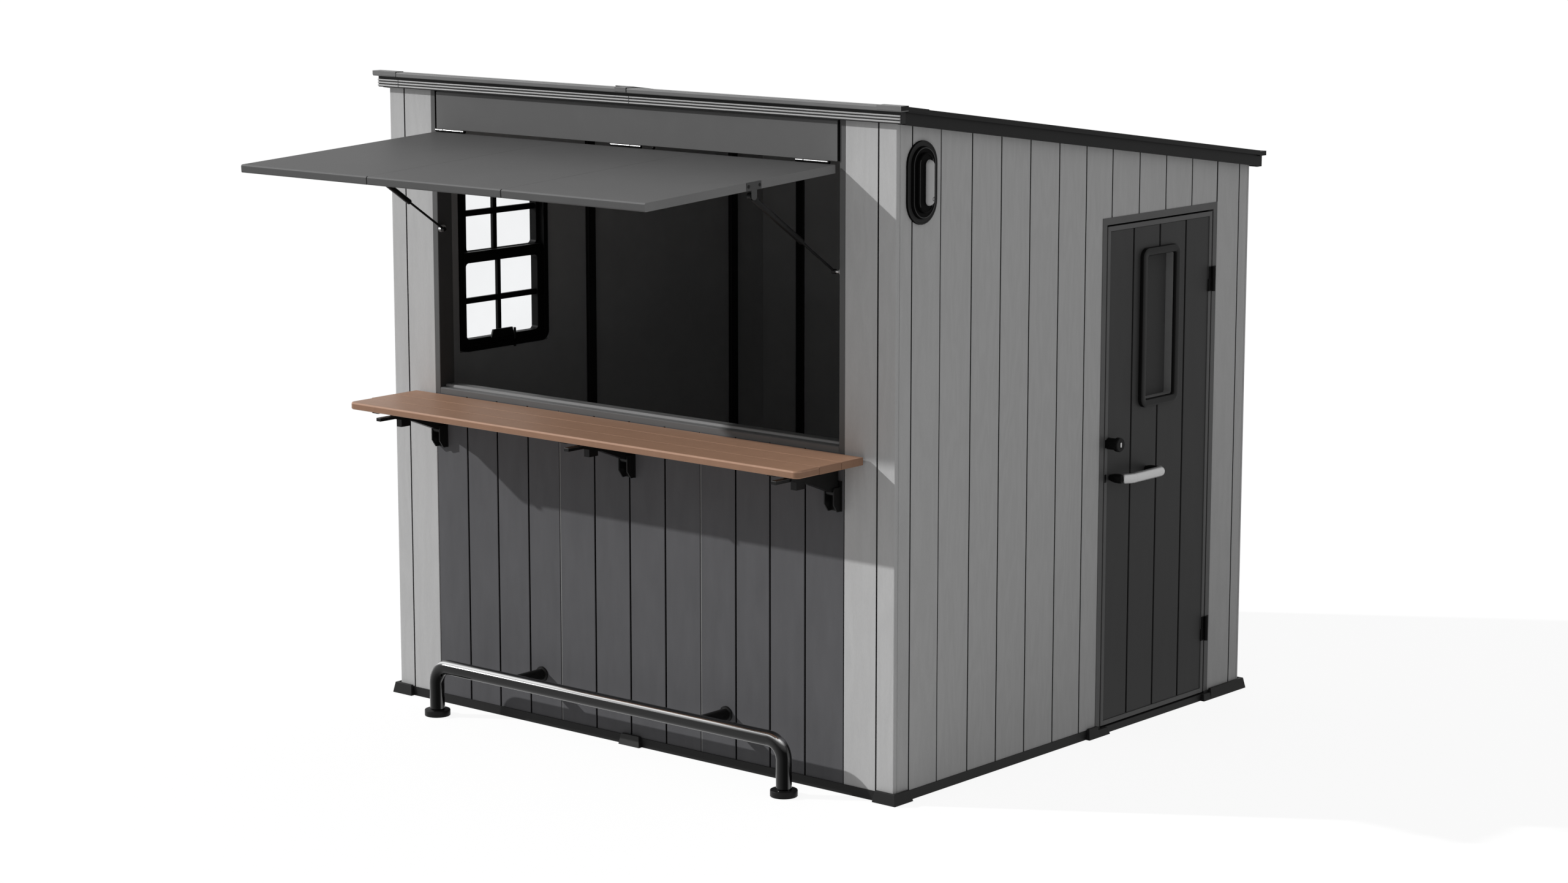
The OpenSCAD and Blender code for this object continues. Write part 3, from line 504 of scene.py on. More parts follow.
def window_wall():
    shape = Shape()
    x_back = -HALF_W + GROOVE_DEPTH
    x_in = -HALF_W + WALL_T

    def over_and_under(plan):
        shape.wall(plan, BASE_Z, lambda x, y: WIN_Z0)
        shape.wall(plan, WIN_Z1, under_roof)

    for y0, y1 in ((PANEL_Y0, WIN_Y0), (WIN_Y1, PANEL_Y1)):
        shape.wall(rectangle(x_back, x_in, y0, y1), BASE_Z, under_roof)
    over_and_under(rectangle(x_back, x_in, WIN_Y0, WIN_Y1))
    for cut, next_cut in zip(SIDE_CUTS, SIDE_CUTS[1:]):
        a = cut + HALF_GROOVE
        b = next_cut - HALF_GROOVE
        stops = [a] + [w for w in (WIN_Y0, WIN_Y1) if a < w < b] + [b]
        for y0, y1 in zip(stops, stops[1:]):
            plan = rectangle(-HALF_W, x_back, y0, y1)
            if y0 >= WIN_Y0 - 1e-6 and y1 <= WIN_Y1 + 1e-6:
                over_and_under(plan)
            else:
                shape.wall(plan, BASE_Z, under_roof)
    mats = [WALL, INSIDE, WALL_GROOVE_SHADE]
    paint_wall(shape.piece("left_window_boards", mats, "wall_boards", "left_wall_window_panel"), "left")


window_wall()


# Corner panels with one groove on each face and a fine bead beside the edge
def corner_panel(name, sx, sy, leg_y, node):
    """Plan drawn for the corner at +x, -y and mirrored into place."""
    g = HALF_GROOVE
    d = GROOVE_DEPTH
    r = 0.006
    w = HALF_W
    off = 0.075
    turn = 0.075 if sy < 0 else 0.066
    y_face = FRONT_Y if sy < 0 else REAR_Y
    base = [(HATCH_HALF, EDGE), (HATCH_HALF + EDGE, 0), (w - off - g, 0), (w - off - g, d), (w - off + g, d),
            (w - off + g, 0)]
    base += arc(w - r, r, r, -90, 0, 4)
    base += [(w, 0.0125), (w - 0.002, 0.0133), (w - 0.002, 0.0150), (w, 0.0158)]
    base += [(w, turn - g), (w - d, turn - g), (w - d, turn + g), (w, turn + g)]
    base += [(w, leg_y - g), (w - d, leg_y - g), (w - d, leg_y), (w - WALL_T, leg_y), (w - WALL_T, WALL_T),
             (HATCH_HALF, WALL_T)]
    shape = Shape().wall([(sx * x, y_face - sy * t) for x, t in base], BASE_Z, under_roof)
    piece = shape.piece(name, [PALE, INSIDE, PALE_GROOVE_SHADE], "corner_panel", node)

    def inner(c, n):
        if n.y * sy < -0.7 and abs(c.y - (y_face - sy * WALL_T)) < 1e-4:
            return True
        return n.x * sx < -0.7 and abs(c.x - sx * (w - WALL_T)) < 1e-4

    def grooved(c, n):
        from_end = abs(c.y - y_face)
        from_side = w - abs(c.x)
        here = (in_groove(from_end) and from_side > 0.02) or (in_groove(from_side) and from_end > 0.02)
        return abs(n.z) < 0.5 and here

    paint_faces(piece, 1, inner)
    # Groove faces painted dark as painted shade.
    paint_faces(piece, 2, grooved)


for end, sy, leg_y in (("front", -1, PANEL_Y0 - FRONT_Y), ("rear", 1, REAR_Y - DOOR_Y1)):
    for side, sx in (("right", 1), ("left", -1)):
        corner_panel(f"{end}_{side}_corner", sx, sy, leg_y, f"corner_{end}_{side}")


# Frame nodes that keep their own shape, with softened edges
def dress(mat, *nodes, bevel=0.0):
    for node in nodes:
        part = frame["nodes"][node]
        part.data.materials.clear()
        part.data.materials.append(mat)
        if bevel:
            soften(part, bevel)


dress(BASE, "base_front", "base_right", "base_rear", "base_left", bevel=0.0015)
dress(FLOOR, "floor_panel")
dress(HEADER, "hatch_header", bevel=0.0012)
dress(DOOR_FRAME, "door_jambs", "door_head", bevel=0.0015)
dress(ROOF, "roof_panel", "roof_seam_strip", bevel=0.001)
dress(FASCIA, "rear_fascia", "right_fascia", "left_fascia", bevel=0.002)
dress(GLASS, "window_glass")
dress(DARK_GLASS, "door_window_glass")
# The flap hinges' bright top is a painted highlight.
dress(HINGE_STEEL_PAINTED_SHINE, "flap_hinge_fixed", "flap_hinge_moving", bevel=0.0004)
dress(FLAP, "flap_strut_brackets", bevel=0.0006)
dress(BLACK_METAL, "counter_wall_plates", "counter_arms", bevel=0.0008)
dress(DOOR_BLACK, "door_hinge_fixed", "door_hinge_moving", bevel=0.0008)

# Feet round the base, narrower at the top
FOOT_X, FOOT_Y, FOOT_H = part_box("base_feet")[1]
BAND_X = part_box("base_right")[1].x
BAND_Y = FOOT_Y - (FOOT_X - BAND_X)
FOOT_LEN = 0.075
MID_FOOT = 0.048
TOE_H = 0.024
TAPER = 0.007
REAR_TOE = DOOR_Y1 - 0.024 - (FOOT_X - HALF_W)
feet = Shape()


def foot(sx, sy, low, high, height):
    """Block from an outline on the ground to one at its top, mirrored into place."""
    feet.rings([[(sx * x, sy * y, z) for x, y in outline] for outline, z in ((low, 0.0), (high, height))])


def corner_foot(sx, sy, side_end):
    def outline(t):
        x_end = HALF_W - FOOT_LEN + t
        return [(x_end, BAND_Y), (x_end, FOOT_Y - t), (FOOT_X - t, FOOT_Y - t), (FOOT_X - t, side_end + t),
                (BAND_X, side_end + t), (BAND_X, BAND_Y)]
    foot(sx, sy, outline(0.0), outline(TAPER), FOOT_H)


def side_foot(sx, y0, y1, height, in0, in1):
    low = [(BAND_X, y0), (FOOT_X, y0), (FOOT_X, y1), (BAND_X, y1)]
    top = FOOT_X - TAPER
    foot(sx, 1, low, [(BAND_X, y0 + in0), (top, y0 + in0), (top, y1 - in1), (BAND_X, y1 - in1)], height)


for sx in (-1, 1):
    corner_foot(sx, -1, -FRONT_Y - FOOT_LEN)
    corner_foot(sx, 1, DOOR_Y1)
    side_foot(sx, REAR_TOE, DOOR_Y1 + 0.004, TOE_H, TAPER, 0)
    side_foot(sx, DOOR_Y0 - 0.0588, DOOR_Y0, FOOT_H, TAPER, 0)
    side_foot(sx, DOOR_Y0 - 0.004, DOOR_Y0 + 0.064, TOE_H, 0, TAPER)
for sy in (-1, 1):
    low = [(-MID_FOOT, BAND_Y), (-MID_FOOT, FOOT_Y), (MID_FOOT, FOOT_Y), (MID_FOOT, BAND_Y)]
    foot(1, sy, low, [(x * 0.84, y - (TAPER if y == FOOT_Y else 0)) for x, y in low], FOOT_H)
foot_blocks = feet.piece("base_foot_blocks", [BASE, FOOT_FACE_LIT], "base_plastic", "base_feet", bevel=0.0012)
# Painted light on the middle feet's front and back faces.
paint_faces(foot_blocks, 1, lambda c, n: abs(n.y) > 0.7 and abs(c.x) < 0.06)

# Posts beside the hatch, in the hatch frame's colour darkened as painted shade, their inner face darker still
# as painted shade
JAMB_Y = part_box("hatch_jambs")[1].y
SILL_LO, SILL_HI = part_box("hatch_sill")
HATCH_CLEAR = SILL_HI.x
jambs = Shape()
for side in (-1, 1):
    plan = [(HATCH_HALF, FRONT_Y), (HATCH_CLEAR + EDGE, FRONT_Y), (HATCH_CLEAR, FRONT_Y + EDGE),
            (HATCH_CLEAR, JAMB_Y), (HATCH_HALF, JAMB_Y)]
    jambs.wall([(side * x, y) for x, y in plan], SILL_LO.z, under_roof)
jamb_posts = jambs.piece("hatch_jamb_posts", [JAMB_SHADED, REVEAL_SHADED], "hatch_frame", "hatch_jambs")
paint_faces(jamb_posts, 1, lambda c, n: abs(n.y) < 0.75 and c.x * n.x < 0 and c.y > FRONT_Y + 0.003)

# Black strips in the gaps between the header and the posts, as painted shade
HEAD_LO, HEAD_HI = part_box("hatch_header")
FAS_LO, FAS_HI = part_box("front_fascia")
joints = Shape()
for side in (-1, 1):
    x0, x1 = sorted((side * (HEAD_HI.x - 0.003), side * (HEAD_HI.x + 0.0003)))
    joints.block((x0, HEAD_LO.y - 0.0004, HEAD_LO.z), (x1, HEAD_LO.y + 0.006, FAS_LO.z))
joints.piece("header_gap_shade", PAINTED_SHADE_BLACK, "hatch_frame")

# Sill with a raised back strip
STEP_Y = FRONT_Y + 0.026
SILL_Z = SILL_HI.z
sill_outline = [(FRONT_Y, SILL_LO.z), (SILL_HI.y, SILL_LO.z), (SILL_HI.y, SILL_Z), (STEP_Y + 0.004, SILL_Z),
                (STEP_Y + 0.001, SILL_Z - 0.002), (STEP_Y, SILL_Z - 0.008), (FRONT_Y + 0.003, SILL_Z - 0.009),
                (FRONT_Y, SILL_Z - 0.012)]
sill = Shape().prism(sill_outline, SILL_LO.x, SILL_HI.x).piece(
    "hatch_sill_strip", [TRIM, SILL_HIGHLIGHT], "hatch_frame", "hatch_sill")
# Painted highlight on the upper front faces of the sill's step.
paint_faces(sill, 1, lambda c, n: n.y < -0.3 and c.z > SILL_Z - 0.007)

# Black posts inside the room
ROOM_LEFT = -HALF_W + WALL_T
ROOM_REAR = REAR_Y - WALL_T
posts = Shape()
post_plans = [rectangle(ROOM_LEFT, ROOM_LEFT + 0.016, y - 0.02, y + 0.02) for y in (-0.045, 0.765)]
post_plans += [rectangle(x - 0.02, x + 0.02, ROOM_REAR - 0.008, ROOM_REAR) for x in (-0.895, 0.895)]
for plan in post_plans:
    posts.wall(plan, BASE_Z, lambda x, y: under_roof(x, y) - 0.001)
posts.piece("inside_posts", POST, "black_frame", bevel=0.002)

# Light strips in the two panel joints of the front wall
strips = Shape()
for cut in (FRONT_CUTS[4], FRONT_CUTS[8]):
    strips.block((cut - 0.0005, FRONT_Y + 0.001, BASE_Z), (cut + 0.0028, FRONT_Y + 0.010, FRONT_HI.z))
strips.piece("front_joint_strips", STRIP, "front_boards")

# Front fascia: a dark board, three pale ridges and the cap lip
CAP_OUT = 0.011
CAP_T = 0.016
FAS_HALF = FAS_HI.x - CAP_OUT
FAS_Y = FAS_LO.y
FAS_TOP = FAS_HI.z - CAP_T
BOARD_Y = FAS_Y + CAP_OUT + 0.005
Shape().block((-FAS_HALF, BOARD_Y, FAS_LO.z), (FAS_HALF, FRONT_Y, FAS_TOP)).piece(
    "fascia_board", BETWEEN, "fascia_metal", "front_fascia")
cap_outline = [(FRONT_Y, FAS_TOP), (FAS_Y + 0.001, FAS_TOP), (FAS_Y, FAS_TOP + 0.002),
               (FAS_Y, FAS_HI.z - 0.004), (FAS_Y + 0.0012, FAS_HI.z - 0.0012), (FAS_Y + 0.004, FAS_HI.z),
               (FRONT_Y, FAS_HI.z)]
LEFT_JOINT = -1.068
MID_JOINT = 0.028
GAP = 0.0017
INNER_ENDS = [LEFT_JOINT - GAP, LEFT_JOINT + GAP, MID_JOINT - GAP, MID_JOINT + GAP]
RIDGE_STEP = 0.0095


def fascia_runs(shape, outline, left, right):
    """Outline drawn out in three runs, with the joints left open."""
    ends = [left] + INNER_ENDS + [right]
    for i in (0, 2, 4):
        shape.prism(outline, ends[i], ends[i + 1])


cap = Shape()
fascia_runs(cap, cap_outline, FAS_LO.x, FAS_HI.x)
cap.piece("fascia_cap", CAP, "fascia_metal")
ridges = Shape()
for i in range(3):
    z = FAS_LO.z + (i + 0.62) * RIDGE_STEP
    outline = [(BOARD_Y, z - 0.0033)]
    for k in range(7):
        t = radians(-90 + 30 * k)
        outline.append((BOARD_Y - 0.0045 * cos(t) - 0.0004, z + 0.0032 * sin(t)))
    outline.append((BOARD_Y, z + 0.0033))
    fascia_runs(ridges, outline, -FAS_HALF, FAS_HALF - 0.003)
ridges.piece("fascia_ridges", RIDGE, "fascia_metal")

# Caps on the two front corners of the roof and on its seam
caps = Shape()
SIDE_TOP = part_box("right_fascia")[1].z
SIDE_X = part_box("right_fascia")[1].x + 0.0015
CAP_Y0, CAP_Y1 = FAS_Y - 0.0012, FRONT_Y + 0.001
CAP_Z0, CAP_Z1 = FAS_TOP + 0.003, FAS_HI.z + 0.002
for sx, inner in ((-1, 1.067), (1, 1.085)):
    caps.wall(rectangle(sx * inner, sx * SIDE_X, CAP_Y0, CAP_Y1), CAP_Z0, lambda x, y: CAP_Z1)
    rings = []
    for y in (FRONT_Y, FRONT_Y + 0.104):
        top = SIDE_TOP - (y - FRONT_Y) * ROOF_FALL
        rings.append([(x, y, z) for x, z in rectangle(sx * HALF_W, sx * SIDE_X, top - 0.012, top + 0.002)])
    caps.rings(rings)
caps.block((-0.024, CAP_Y0, CAP_Z0), (0.027, CAP_Y1, CAP_Z1))
corner_caps = caps.piece("roof_corner_caps", [CAP, FASCIA], "fascia_metal", bevel=0.0008)
paint_faces(corner_caps, 1, lambda c, n: abs(n.x) > 0.7 or c.y > FRONT_Y)

# Sash window in the left wall
WIN_Y = (WIN_Y0 + WIN_Y1) / 2
WIN_Z = (WIN_Z0 + WIN_Z1) / 2
PANE_LO, PANE_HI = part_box("window_glass")
MEET_LOW, MEET_HIGH = 1.5335, 1.5725
BAR_Y = -0.514


def sash_window():
    wide = WIN_Y1 - WIN_Y0
    tall = WIN_Z1 - WIN_Z0
    shape = Shape()
    shape.frame(round_box(wide, tall, 0.036), round_box(wide - 0.044, tall - 0.044, 0.020),
                WIN_LO.x, WIN_HI.x, WIN_Y, WIN_Z)
    lower = (PANE_LO.z, MEET_LOW, -1.122, -1.088, -0.0080, -0.0057, 0.0083, 0.0105)
    upper = (MEET_HIGH, PANE_HI.z, -1.140, -1.106, 0.0137, 0.0080, 0.0095, 0.0110)
    for low, high, x0, x1, shift0, shift1, half_bar, half_rail in (lower, upper):
        mid = (low + high) / 2
        y0 = PANE_LO.y + shift0
        y1 = PANE_HI.y + shift1
        around = round_box(wide - 0.043, high - low + 0.060, 0.019)
        opening = [(a + (y0 + y1) / 2 - WIN_Y, b) for a, b in round_box(y1 - y0, high - low, 0.014)]
        shape.frame(around, opening, x0, x1, WIN_Y, mid)
        bar_x = (x0 + x1) / 2
        shape.block((bar_x - 0.0075, BAR_Y - half_bar, low - 0.004),
                    (bar_x + 0.0075, BAR_Y + half_bar, high + 0.004))
        shape.block((bar_x - 0.007, y0 - 0.004, mid - half_rail),
                    (bar_x + 0.007, y1 + 0.004, mid + half_rail))
    shape.block((-1.130, WIN_Y0 + 0.023, MEET_LOW), (-1.090, WIN_Y1 - 0.023, MEET_HIGH))
    shape.piece("sash_window", BLACK, "black_frame", "window_frame", bevel=0.002)
    z = PANE_LO.z
    latch = Shape()
    latch.prism([(BAR_Y - 0.060, z - 0.006), (BAR_Y + 0.056, z - 0.006), (BAR_Y + 0.050, z + 0.024),
                 (BAR_Y - 0.050, z + 0.024)], -1.090, -1.081)
    latch.lathe((-1.086, BAR_Y + 0.064, z - 0.050), (0, 0, 1), [(0, 0.005), (0.070, 0.005)], 12)
    latch.piece("sash_latch", BLACK_METAL, "black_frame", bevel=0.0015)


sash_window()

# Wall light: stepped oval housing with a rounded lens
LAMP_LO, LAMP_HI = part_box("wall_light_housing")
LAMP_Y = (LAMP_LO.y + LAMP_HI.y) / 2 + 0.003
LAMP_Z = (LAMP_LO.z + LAMP_HI.z) / 2
LAMP_W = LAMP_HI.y - LAMP_LO.y + 0.006
LAMP_H = LAMP_HI.z - LAMP_LO.z
LENS_LO, LENS_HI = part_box("wall_light_lens")
LENS_W = LENS_HI.y - LENS_LO.y - 0.004
LENS_H = LENS_HI.z - LENS_LO.z
LENS_ASIDE = 0.014
LENS_ROUND = 0.014
STEP = (LAMP_HI.x - HALF_W) / 3
STEP_IN = 0.019


def oval_stack(w, h, profile, aside=0.0):
    """Oval outlines stacked out from the right wall: (inset, place along x)."""
    y = LAMP_Y + aside
    rings = [[(x, y + a, LAMP_Z + b) for a, b in stadium(w - 2 * d, h - 2 * d)] for d, x in profile]
    return Shape().rings(rings)


STEP_EDGE = ((0, 0.0022), (0.0006, 0.0008), (0.0018, 0), (0.0048, 0), (0.0060, 0.0014), (0.0175, 0.0018))
housing_profile = [(0.0, HALF_W)]
for i in range(3):
    inset = STEP_IN * i
    top = HALF_W + STEP * (i + 1)
    for further, below in STEP_EDGE:
        housing_profile.append((inset + further, top - below))
lamp = oval_stack(LAMP_W, LAMP_H, housing_profile).piece(
    "wall_light", [LAMP, LAMP_EDGE_HIGHLIGHT, LAMP_RING_LIT], "black_frame", "wall_light_housing", smooth=True)
MIDDLE = LAMP_W / 2 - 0.0451
# Painted highlight on the upper steps' outward faces, painted light on the first step; the middle of the top
# stays black.
paint_faces(lamp, 1, lambda c, n: n.x > 0.95 and (c.x - HALF_W) / STEP > 1.98)
paint_faces(lamp, 2, lambda c, n: n.x > 0.5 and 0.7 < (c.x - HALF_W) / STEP < 1.001)
paint_faces(lamp, 0, lambda c, n: c.x > LAMP_HI.x - 0.0019 and abs(c.y - LAMP_Y) < MIDDLE)
lens_profile = []
for i in range(9):
    t = radians(90 * i / 8)
    out = LENS_LO.x - 0.004 + (LENS_HI.x - LENS_LO.x + 0.006) * sin(t)
    lens_profile.append((LENS_ROUND * (1 - cos(t)), out))
oval_stack(LENS_W, LENS_H, lens_profile, LENS_ASIDE).piece(
    "wall_light_lens", LENS, "lamp_lens", "wall_light_lens", smooth=True)
screw_at = Vector((LENS_HI.x + 0.0008, LAMP_Y + 0.019, LENS_LO.z + 0.022))
ring_section = ((-0.004, 0.0070), (0.0014, 0.0068), (0.0014, 0.0050), (-0.004, 0.0048))
Shape().rings([[screw_at + Vector((x, r * cos(t), r * sin(t))) for t in circle(20)] for x, r in ring_section],
              close=False).piece("wall_light_ring", BASE, "lamp_lens")

# Door leaf: slab, pale border and four boards round the window
LEAF_LO, LEAF_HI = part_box("door_leaf")
RIM_LO, RIM_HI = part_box("door_window_rim")
FACE_X = LEAF_HI.x
BORDER = 0.0165
HOLE_IN = 0.012
HOLE_Y0, HOLE_Y1 = RIM_LO.y + HOLE_IN, RIM_HI.y - HOLE_IN
HOLE_Z0, HOLE_Z1 = RIM_LO.z + HOLE_IN, RIM_HI.z - HOLE_IN


def door_leaf():
    leaf = rectangle(LEAF_LO.y, LEAF_HI.y, LEAF_LO.z, LEAF_HI.z)
    hole = rectangle(HOLE_Y0, HOLE_Y1, HOLE_Z0, HOLE_Z1)
    inner = rectangle(LEAF_LO.y + BORDER, LEAF_HI.y - BORDER, LEAF_LO.z + BORDER, LEAF_HI.z - BORDER)
    # The slab's front, seen down the boards' grooves, is painted black as painted shade; its back takes the
    # inside colour.
    slab = Shape().frame(leaf, hole, LEAF_LO.x, FACE_X - 0.010).piece(
        "door_slab", [PAINTED_SHADE_BLACK, INSIDE], "door_boards", "door_leaf", "door")
    paint_faces(slab, 1, lambda c, n: n.x < -0.7)
    Shape().frame(leaf, inner, FACE_X - 0.0105, FACE_X).piece(
        "door_border", DOOR_FRAME, "door_frame", body="door", bevel=0.0012)
    g = 0.0042
    seam = 0.0006
    y0, y1 = LEAF_LO.y + BORDER + seam, LEAF_HI.y - BORDER - seam
    z0, z1 = LEAF_LO.z + BORDER + seam, LEAF_HI.z - BORDER - seam
    first, mid, third = 0.2938, 0.4509, 0.6091
    outlines = [rectangle(y0, first - g, z0, z1), rectangle(third + g, y1, z0, z1)]
    for near, far, hole_y in ((first + g, mid - g, HOLE_Y0), (third - g, mid + g, HOLE_Y1)):
        outlines.append([(near, z0), (far, z0), (far, HOLE_Z0), (hole_y, HOLE_Z0), (hole_y, HOLE_Z1),
                         (far, HOLE_Z1), (far, z1), (near, z1)])
    boards = Shape()
    for outline in outlines:
        boards.prism(outline, FACE_X - 0.0105, FACE_X - 0.0025)
    boards.piece("door_boards", DOOR, "door_boards", body="door", bevel=0.0012)


door_leaf()
RIM_SECTION = [(0, 0), (0, 0.6), (0.0012, 0.86), (0.004, 0.97), (0.008, 1.0), (0.021, 0.98),
               (0.025, 0.88), (0.0275, 0.62), (0.028, 0), (0.028, -0.25), (0.010, -0.25), (0.010, 0.0)]


def window_rim():
    """Rounded rim on both faces of the door, with a reveal through it whose pale tone is painted light."""
    wide = RIM_HI.y - RIM_LO.y
    tall = RIM_HI.z - RIM_LO.z
    y = (RIM_LO.y + RIM_HI.y) / 2
    z = (RIM_LO.z + RIM_HI.z) / 2
    shape = Shape()
    for face, proud in ((FACE_X - 0.003, RIM_HI.x - FACE_X + 0.003), (LEAF_LO.x, RIM_LO.x - LEAF_LO.x)):
        rings = []
        for d, h in RIM_SECTION:
            outline = round_box(wide - 2 * d, tall - 2 * d, max(0.032 - d, 0.008), 8)
            rings.append([(face + h * proud, y + a, z + b) for a, b in outline])
        shape.rings(rings, close=False)
    rim = shape.piece("door_window_rim", [BLACK, RIM], "black_frame", "door_window_rim", "door", smooth=True)
    paint_faces(rim, 1, lambda c, n: abs(n.x) > 0.70)
    outer = round_box(wide - 0.040, tall - 0.040, 0.012, 8)
    inner = round_box(wide - 0.057, tall - 0.057, 0.008, 8)
    Shape().frame(outer, inner, LEAF_LO.x - 0.004, FACE_X - 0.001, y, z).piece(
        "door_window_reveal", RIM_REVEAL_LIT, "door_frame", body="door")


window_rim()

# Door handle: a bright bow on two black legs
BAR_LO, BAR_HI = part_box("door_handle_bar")
LEG_LO, LEG_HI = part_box("door_handle_legs")
BAR_R = (BAR_HI.z - BAR_LO.z) / 2
LEG_R = (LEG_HI.z - LEG_LO.z) / 2
BOW_OUT = BAR_HI.x - BAR_R - FACE_X
BOW_Y0 = LEG_LO.y + LEG_R
BOW_L = LEG_HI.y - LEG_R - BOW_Y0
BOW_RUN = 0.034
BOW_Z = (BAR_LO.z + BAR_HI.z) / 2
plan = [(0, 0), (0.7 * BOW_OUT, 0), (BOW_OUT, BOW_RUN), (BOW_OUT, BOW_L - 0.3 * BOW_RUN),
        (BOW_OUT - 0.3 * BOW_RUN, BOW_L), (0, BOW_L)]
line = [Vector((FACE_X + a, BOW_Y0 + b, BOW_Z)) for a, b in plan]
slant = (line[2] - line[1]).normalized()


def bend(i, size):
    """Points of a rounded bend at one corner of the handle's line."""
    near = line[i] + (line[i - 1] - line[i]).normalized() * size
    far = line[i] + (line[i + 1] - line[i]).normalized() * size
    shares = [k / 8 for k in range(9)]
    return [near * (1 - s) ** 2 + line[i] * (2 * s * (1 - s)) + far * s ** 2 for s in shares]


def along(start, way, stops):
    """Points at distances from a start, each with its share of the bar's radius."""
    return [(start + Vector(way) * d, share) for d, share in stops]


def handle_tube(name, stops, mat, slot, node=None):
    points = [p for p, share in stops]
    radii = [BAR_R * share for p, share in stops]
    Shape().sweep(points, radii, Vector((0, 0, 1)), 36).piece(name, mat, slot, node, "door", smooth=True)


OUT = (1, 0, 0)
begin = line[1] + (line[2] - line[1]) * 0.08
bow = along(begin, slant, [(0, 0.80), (0.002, 0.93), (0.005, 1.0)])
bow += [(p, 1.0) for p in bend(2, 0.009)]
bow += along(line[2], (0, 1, 0), [(0.011, 1.0), (0.0117, 0.95), (0.0127, 0.95), (0.0134, 1.0)])
bow += [(p, 1.0) for p in bend(3, 0.006)]
bow += along(line[4], OUT, [(0, 1.0), (-0.003, 0.92)])
handle_tube("handle_bar", bow, HANDLE, "bright_steel", "door_handle_bar")
first_leg = along(line[0], OUT, [(0, 0.62), (0.010, 0.78), (0.022, 0.92)])
first_leg += along(line[1], OUT, [(-0.006, 0.94), (-0.001, 0.90)]) + along(begin, slant, [(0.003, 0.74)])
handle_tube("handle_first_leg", first_leg, DOOR_BLACK, "black_metal", "door_handle_legs")
second_leg = along(line[4], OUT, [(-0.001, 0.88)])
second_leg += along(line[5], OUT, [(0.022, 0.90), (0.010, 0.78), (0, 0.62)])
handle_tube("handle_second_leg", second_leg, DOOR_BLACK, "black_metal")

# Lock with a wider head
LOCK_LO, LOCK_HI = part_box("door_lock")
LOCK_R = (LOCK_HI.z - LOCK_LO.z) / 2
LOCK_Y = (LOCK_LO.y + LOCK_HI.y) / 2
LOCK_Z = (LOCK_LO.z + LOCK_HI.z) / 2
LOCK_L = LOCK_HI.x - LOCK_LO.x
NECK_R = LOCK_R * 0.82
NECK_L = 0.65 * LOCK_L
lock_profile = [(0, NECK_R), (NECK_L, NECK_R), (NECK_L + 0.002, LOCK_R), (LOCK_L - 0.003, LOCK_R),
                (LOCK_L, LOCK_R * 0.90)]
Shape().lathe((LOCK_LO.x, LOCK_Y, LOCK_Z), OUT, lock_profile, 36).piece(
    "door_lock_body", DOOR_BLACK, "black_metal", "door_lock", "door", smooth=True)
key_outline = [(LOCK_Y + a, LOCK_Z + b) for a, b in stadium(0.008, 0.017, 8)]
Shape().prism(key_outline, LOCK_HI.x - 0.002, LOCK_HI.x + 0.0012).piece(
    "door_lock_key_plate", HANDLE, "bright_steel", body="door")

# Dark plates on the door's edge beside the lock and the handle
edge_plates = Shape()
for z in (LOCK_Z, BOW_Z):
    edge_plates.block((FACE_X - 0.001, LEAF_LO.y + 0.0005, z - 0.014),
                      (FACE_X + 0.0008, LEAF_LO.y + 0.011, z + 0.014))
edge_plates.piece("door_edge_plates", DOOR_BLACK, "black_metal", body="door")

# Full-height plates of the door hinges, clear of the knuckles
door_plates = Shape()
jamb_plates = Shape()
DOOR_HINGE_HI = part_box("door_hinge_moving")[1]
PIN_Y = DOOR_HINGE_HI.y - 0.007
PLATE_H = 0.0435
for z in (0.265, DOOR_HINGE_HI.z - PLATE_H):
    door_plates.block((FACE_X - 0.001, PIN_Y - 0.022, z - PLATE_H), (FACE_X + 0.003, PIN_Y - 0.0085, z))
    jamb_plates.block((FACE_X - 0.001, PIN_Y + 0.0085, z), (FACE_X + 0.003, PIN_Y + 0.022, z + PLATE_H))
door_plates.piece("door_hinge_plates", DOOR_BLACK, "black_metal", body="door", bevel=0.0005)
jamb_plates.piece("jamb_hinge_plates", DOOR_BLACK, "black_metal", bevel=0.0005)

# Awning flap of three boards, drawn in its own slope
JOINTS = {j["name"]: j for j in frame["record"]["behaviour"]["joints"]}
HINGE = Vector(JOINTS["flap_swing"]["pos_m"])
DROOP = radians(3.05)
FLAP_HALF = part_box("awning_flap")[1].x
FLAP_BACK, FLAP_FRONT = 0.0025, 0.892
FLAP_TOP, FLAP_UNDER = 0.0055, 0.0325
FLAP_R = 0.006
NOTCH = 0.005


def flap_point(along_flap, below):
    """Place in y and z, from distances along the flap and square below the hinge line."""
    return (HINGE.y - along_flap * cos(DROOP) + below * sin(DROOP),
            HINGE.z - along_flap * sin(DROOP) - below * cos(DROOP))


def flap_section(front):
    points = [(FLAP_BACK, FLAP_TOP), (FLAP_BACK, FLAP_UNDER), (front - 0.004, FLAP_UNDER),
              (front - 0.001, FLAP_UNDER - 0.001), (front, FLAP_UNDER - 0.004)]
    points += arc(front - FLAP_R, FLAP_TOP + FLAP_R, FLAP_R, 0, -90, 4)
    return [flap_point(u, w) for u, w in points]


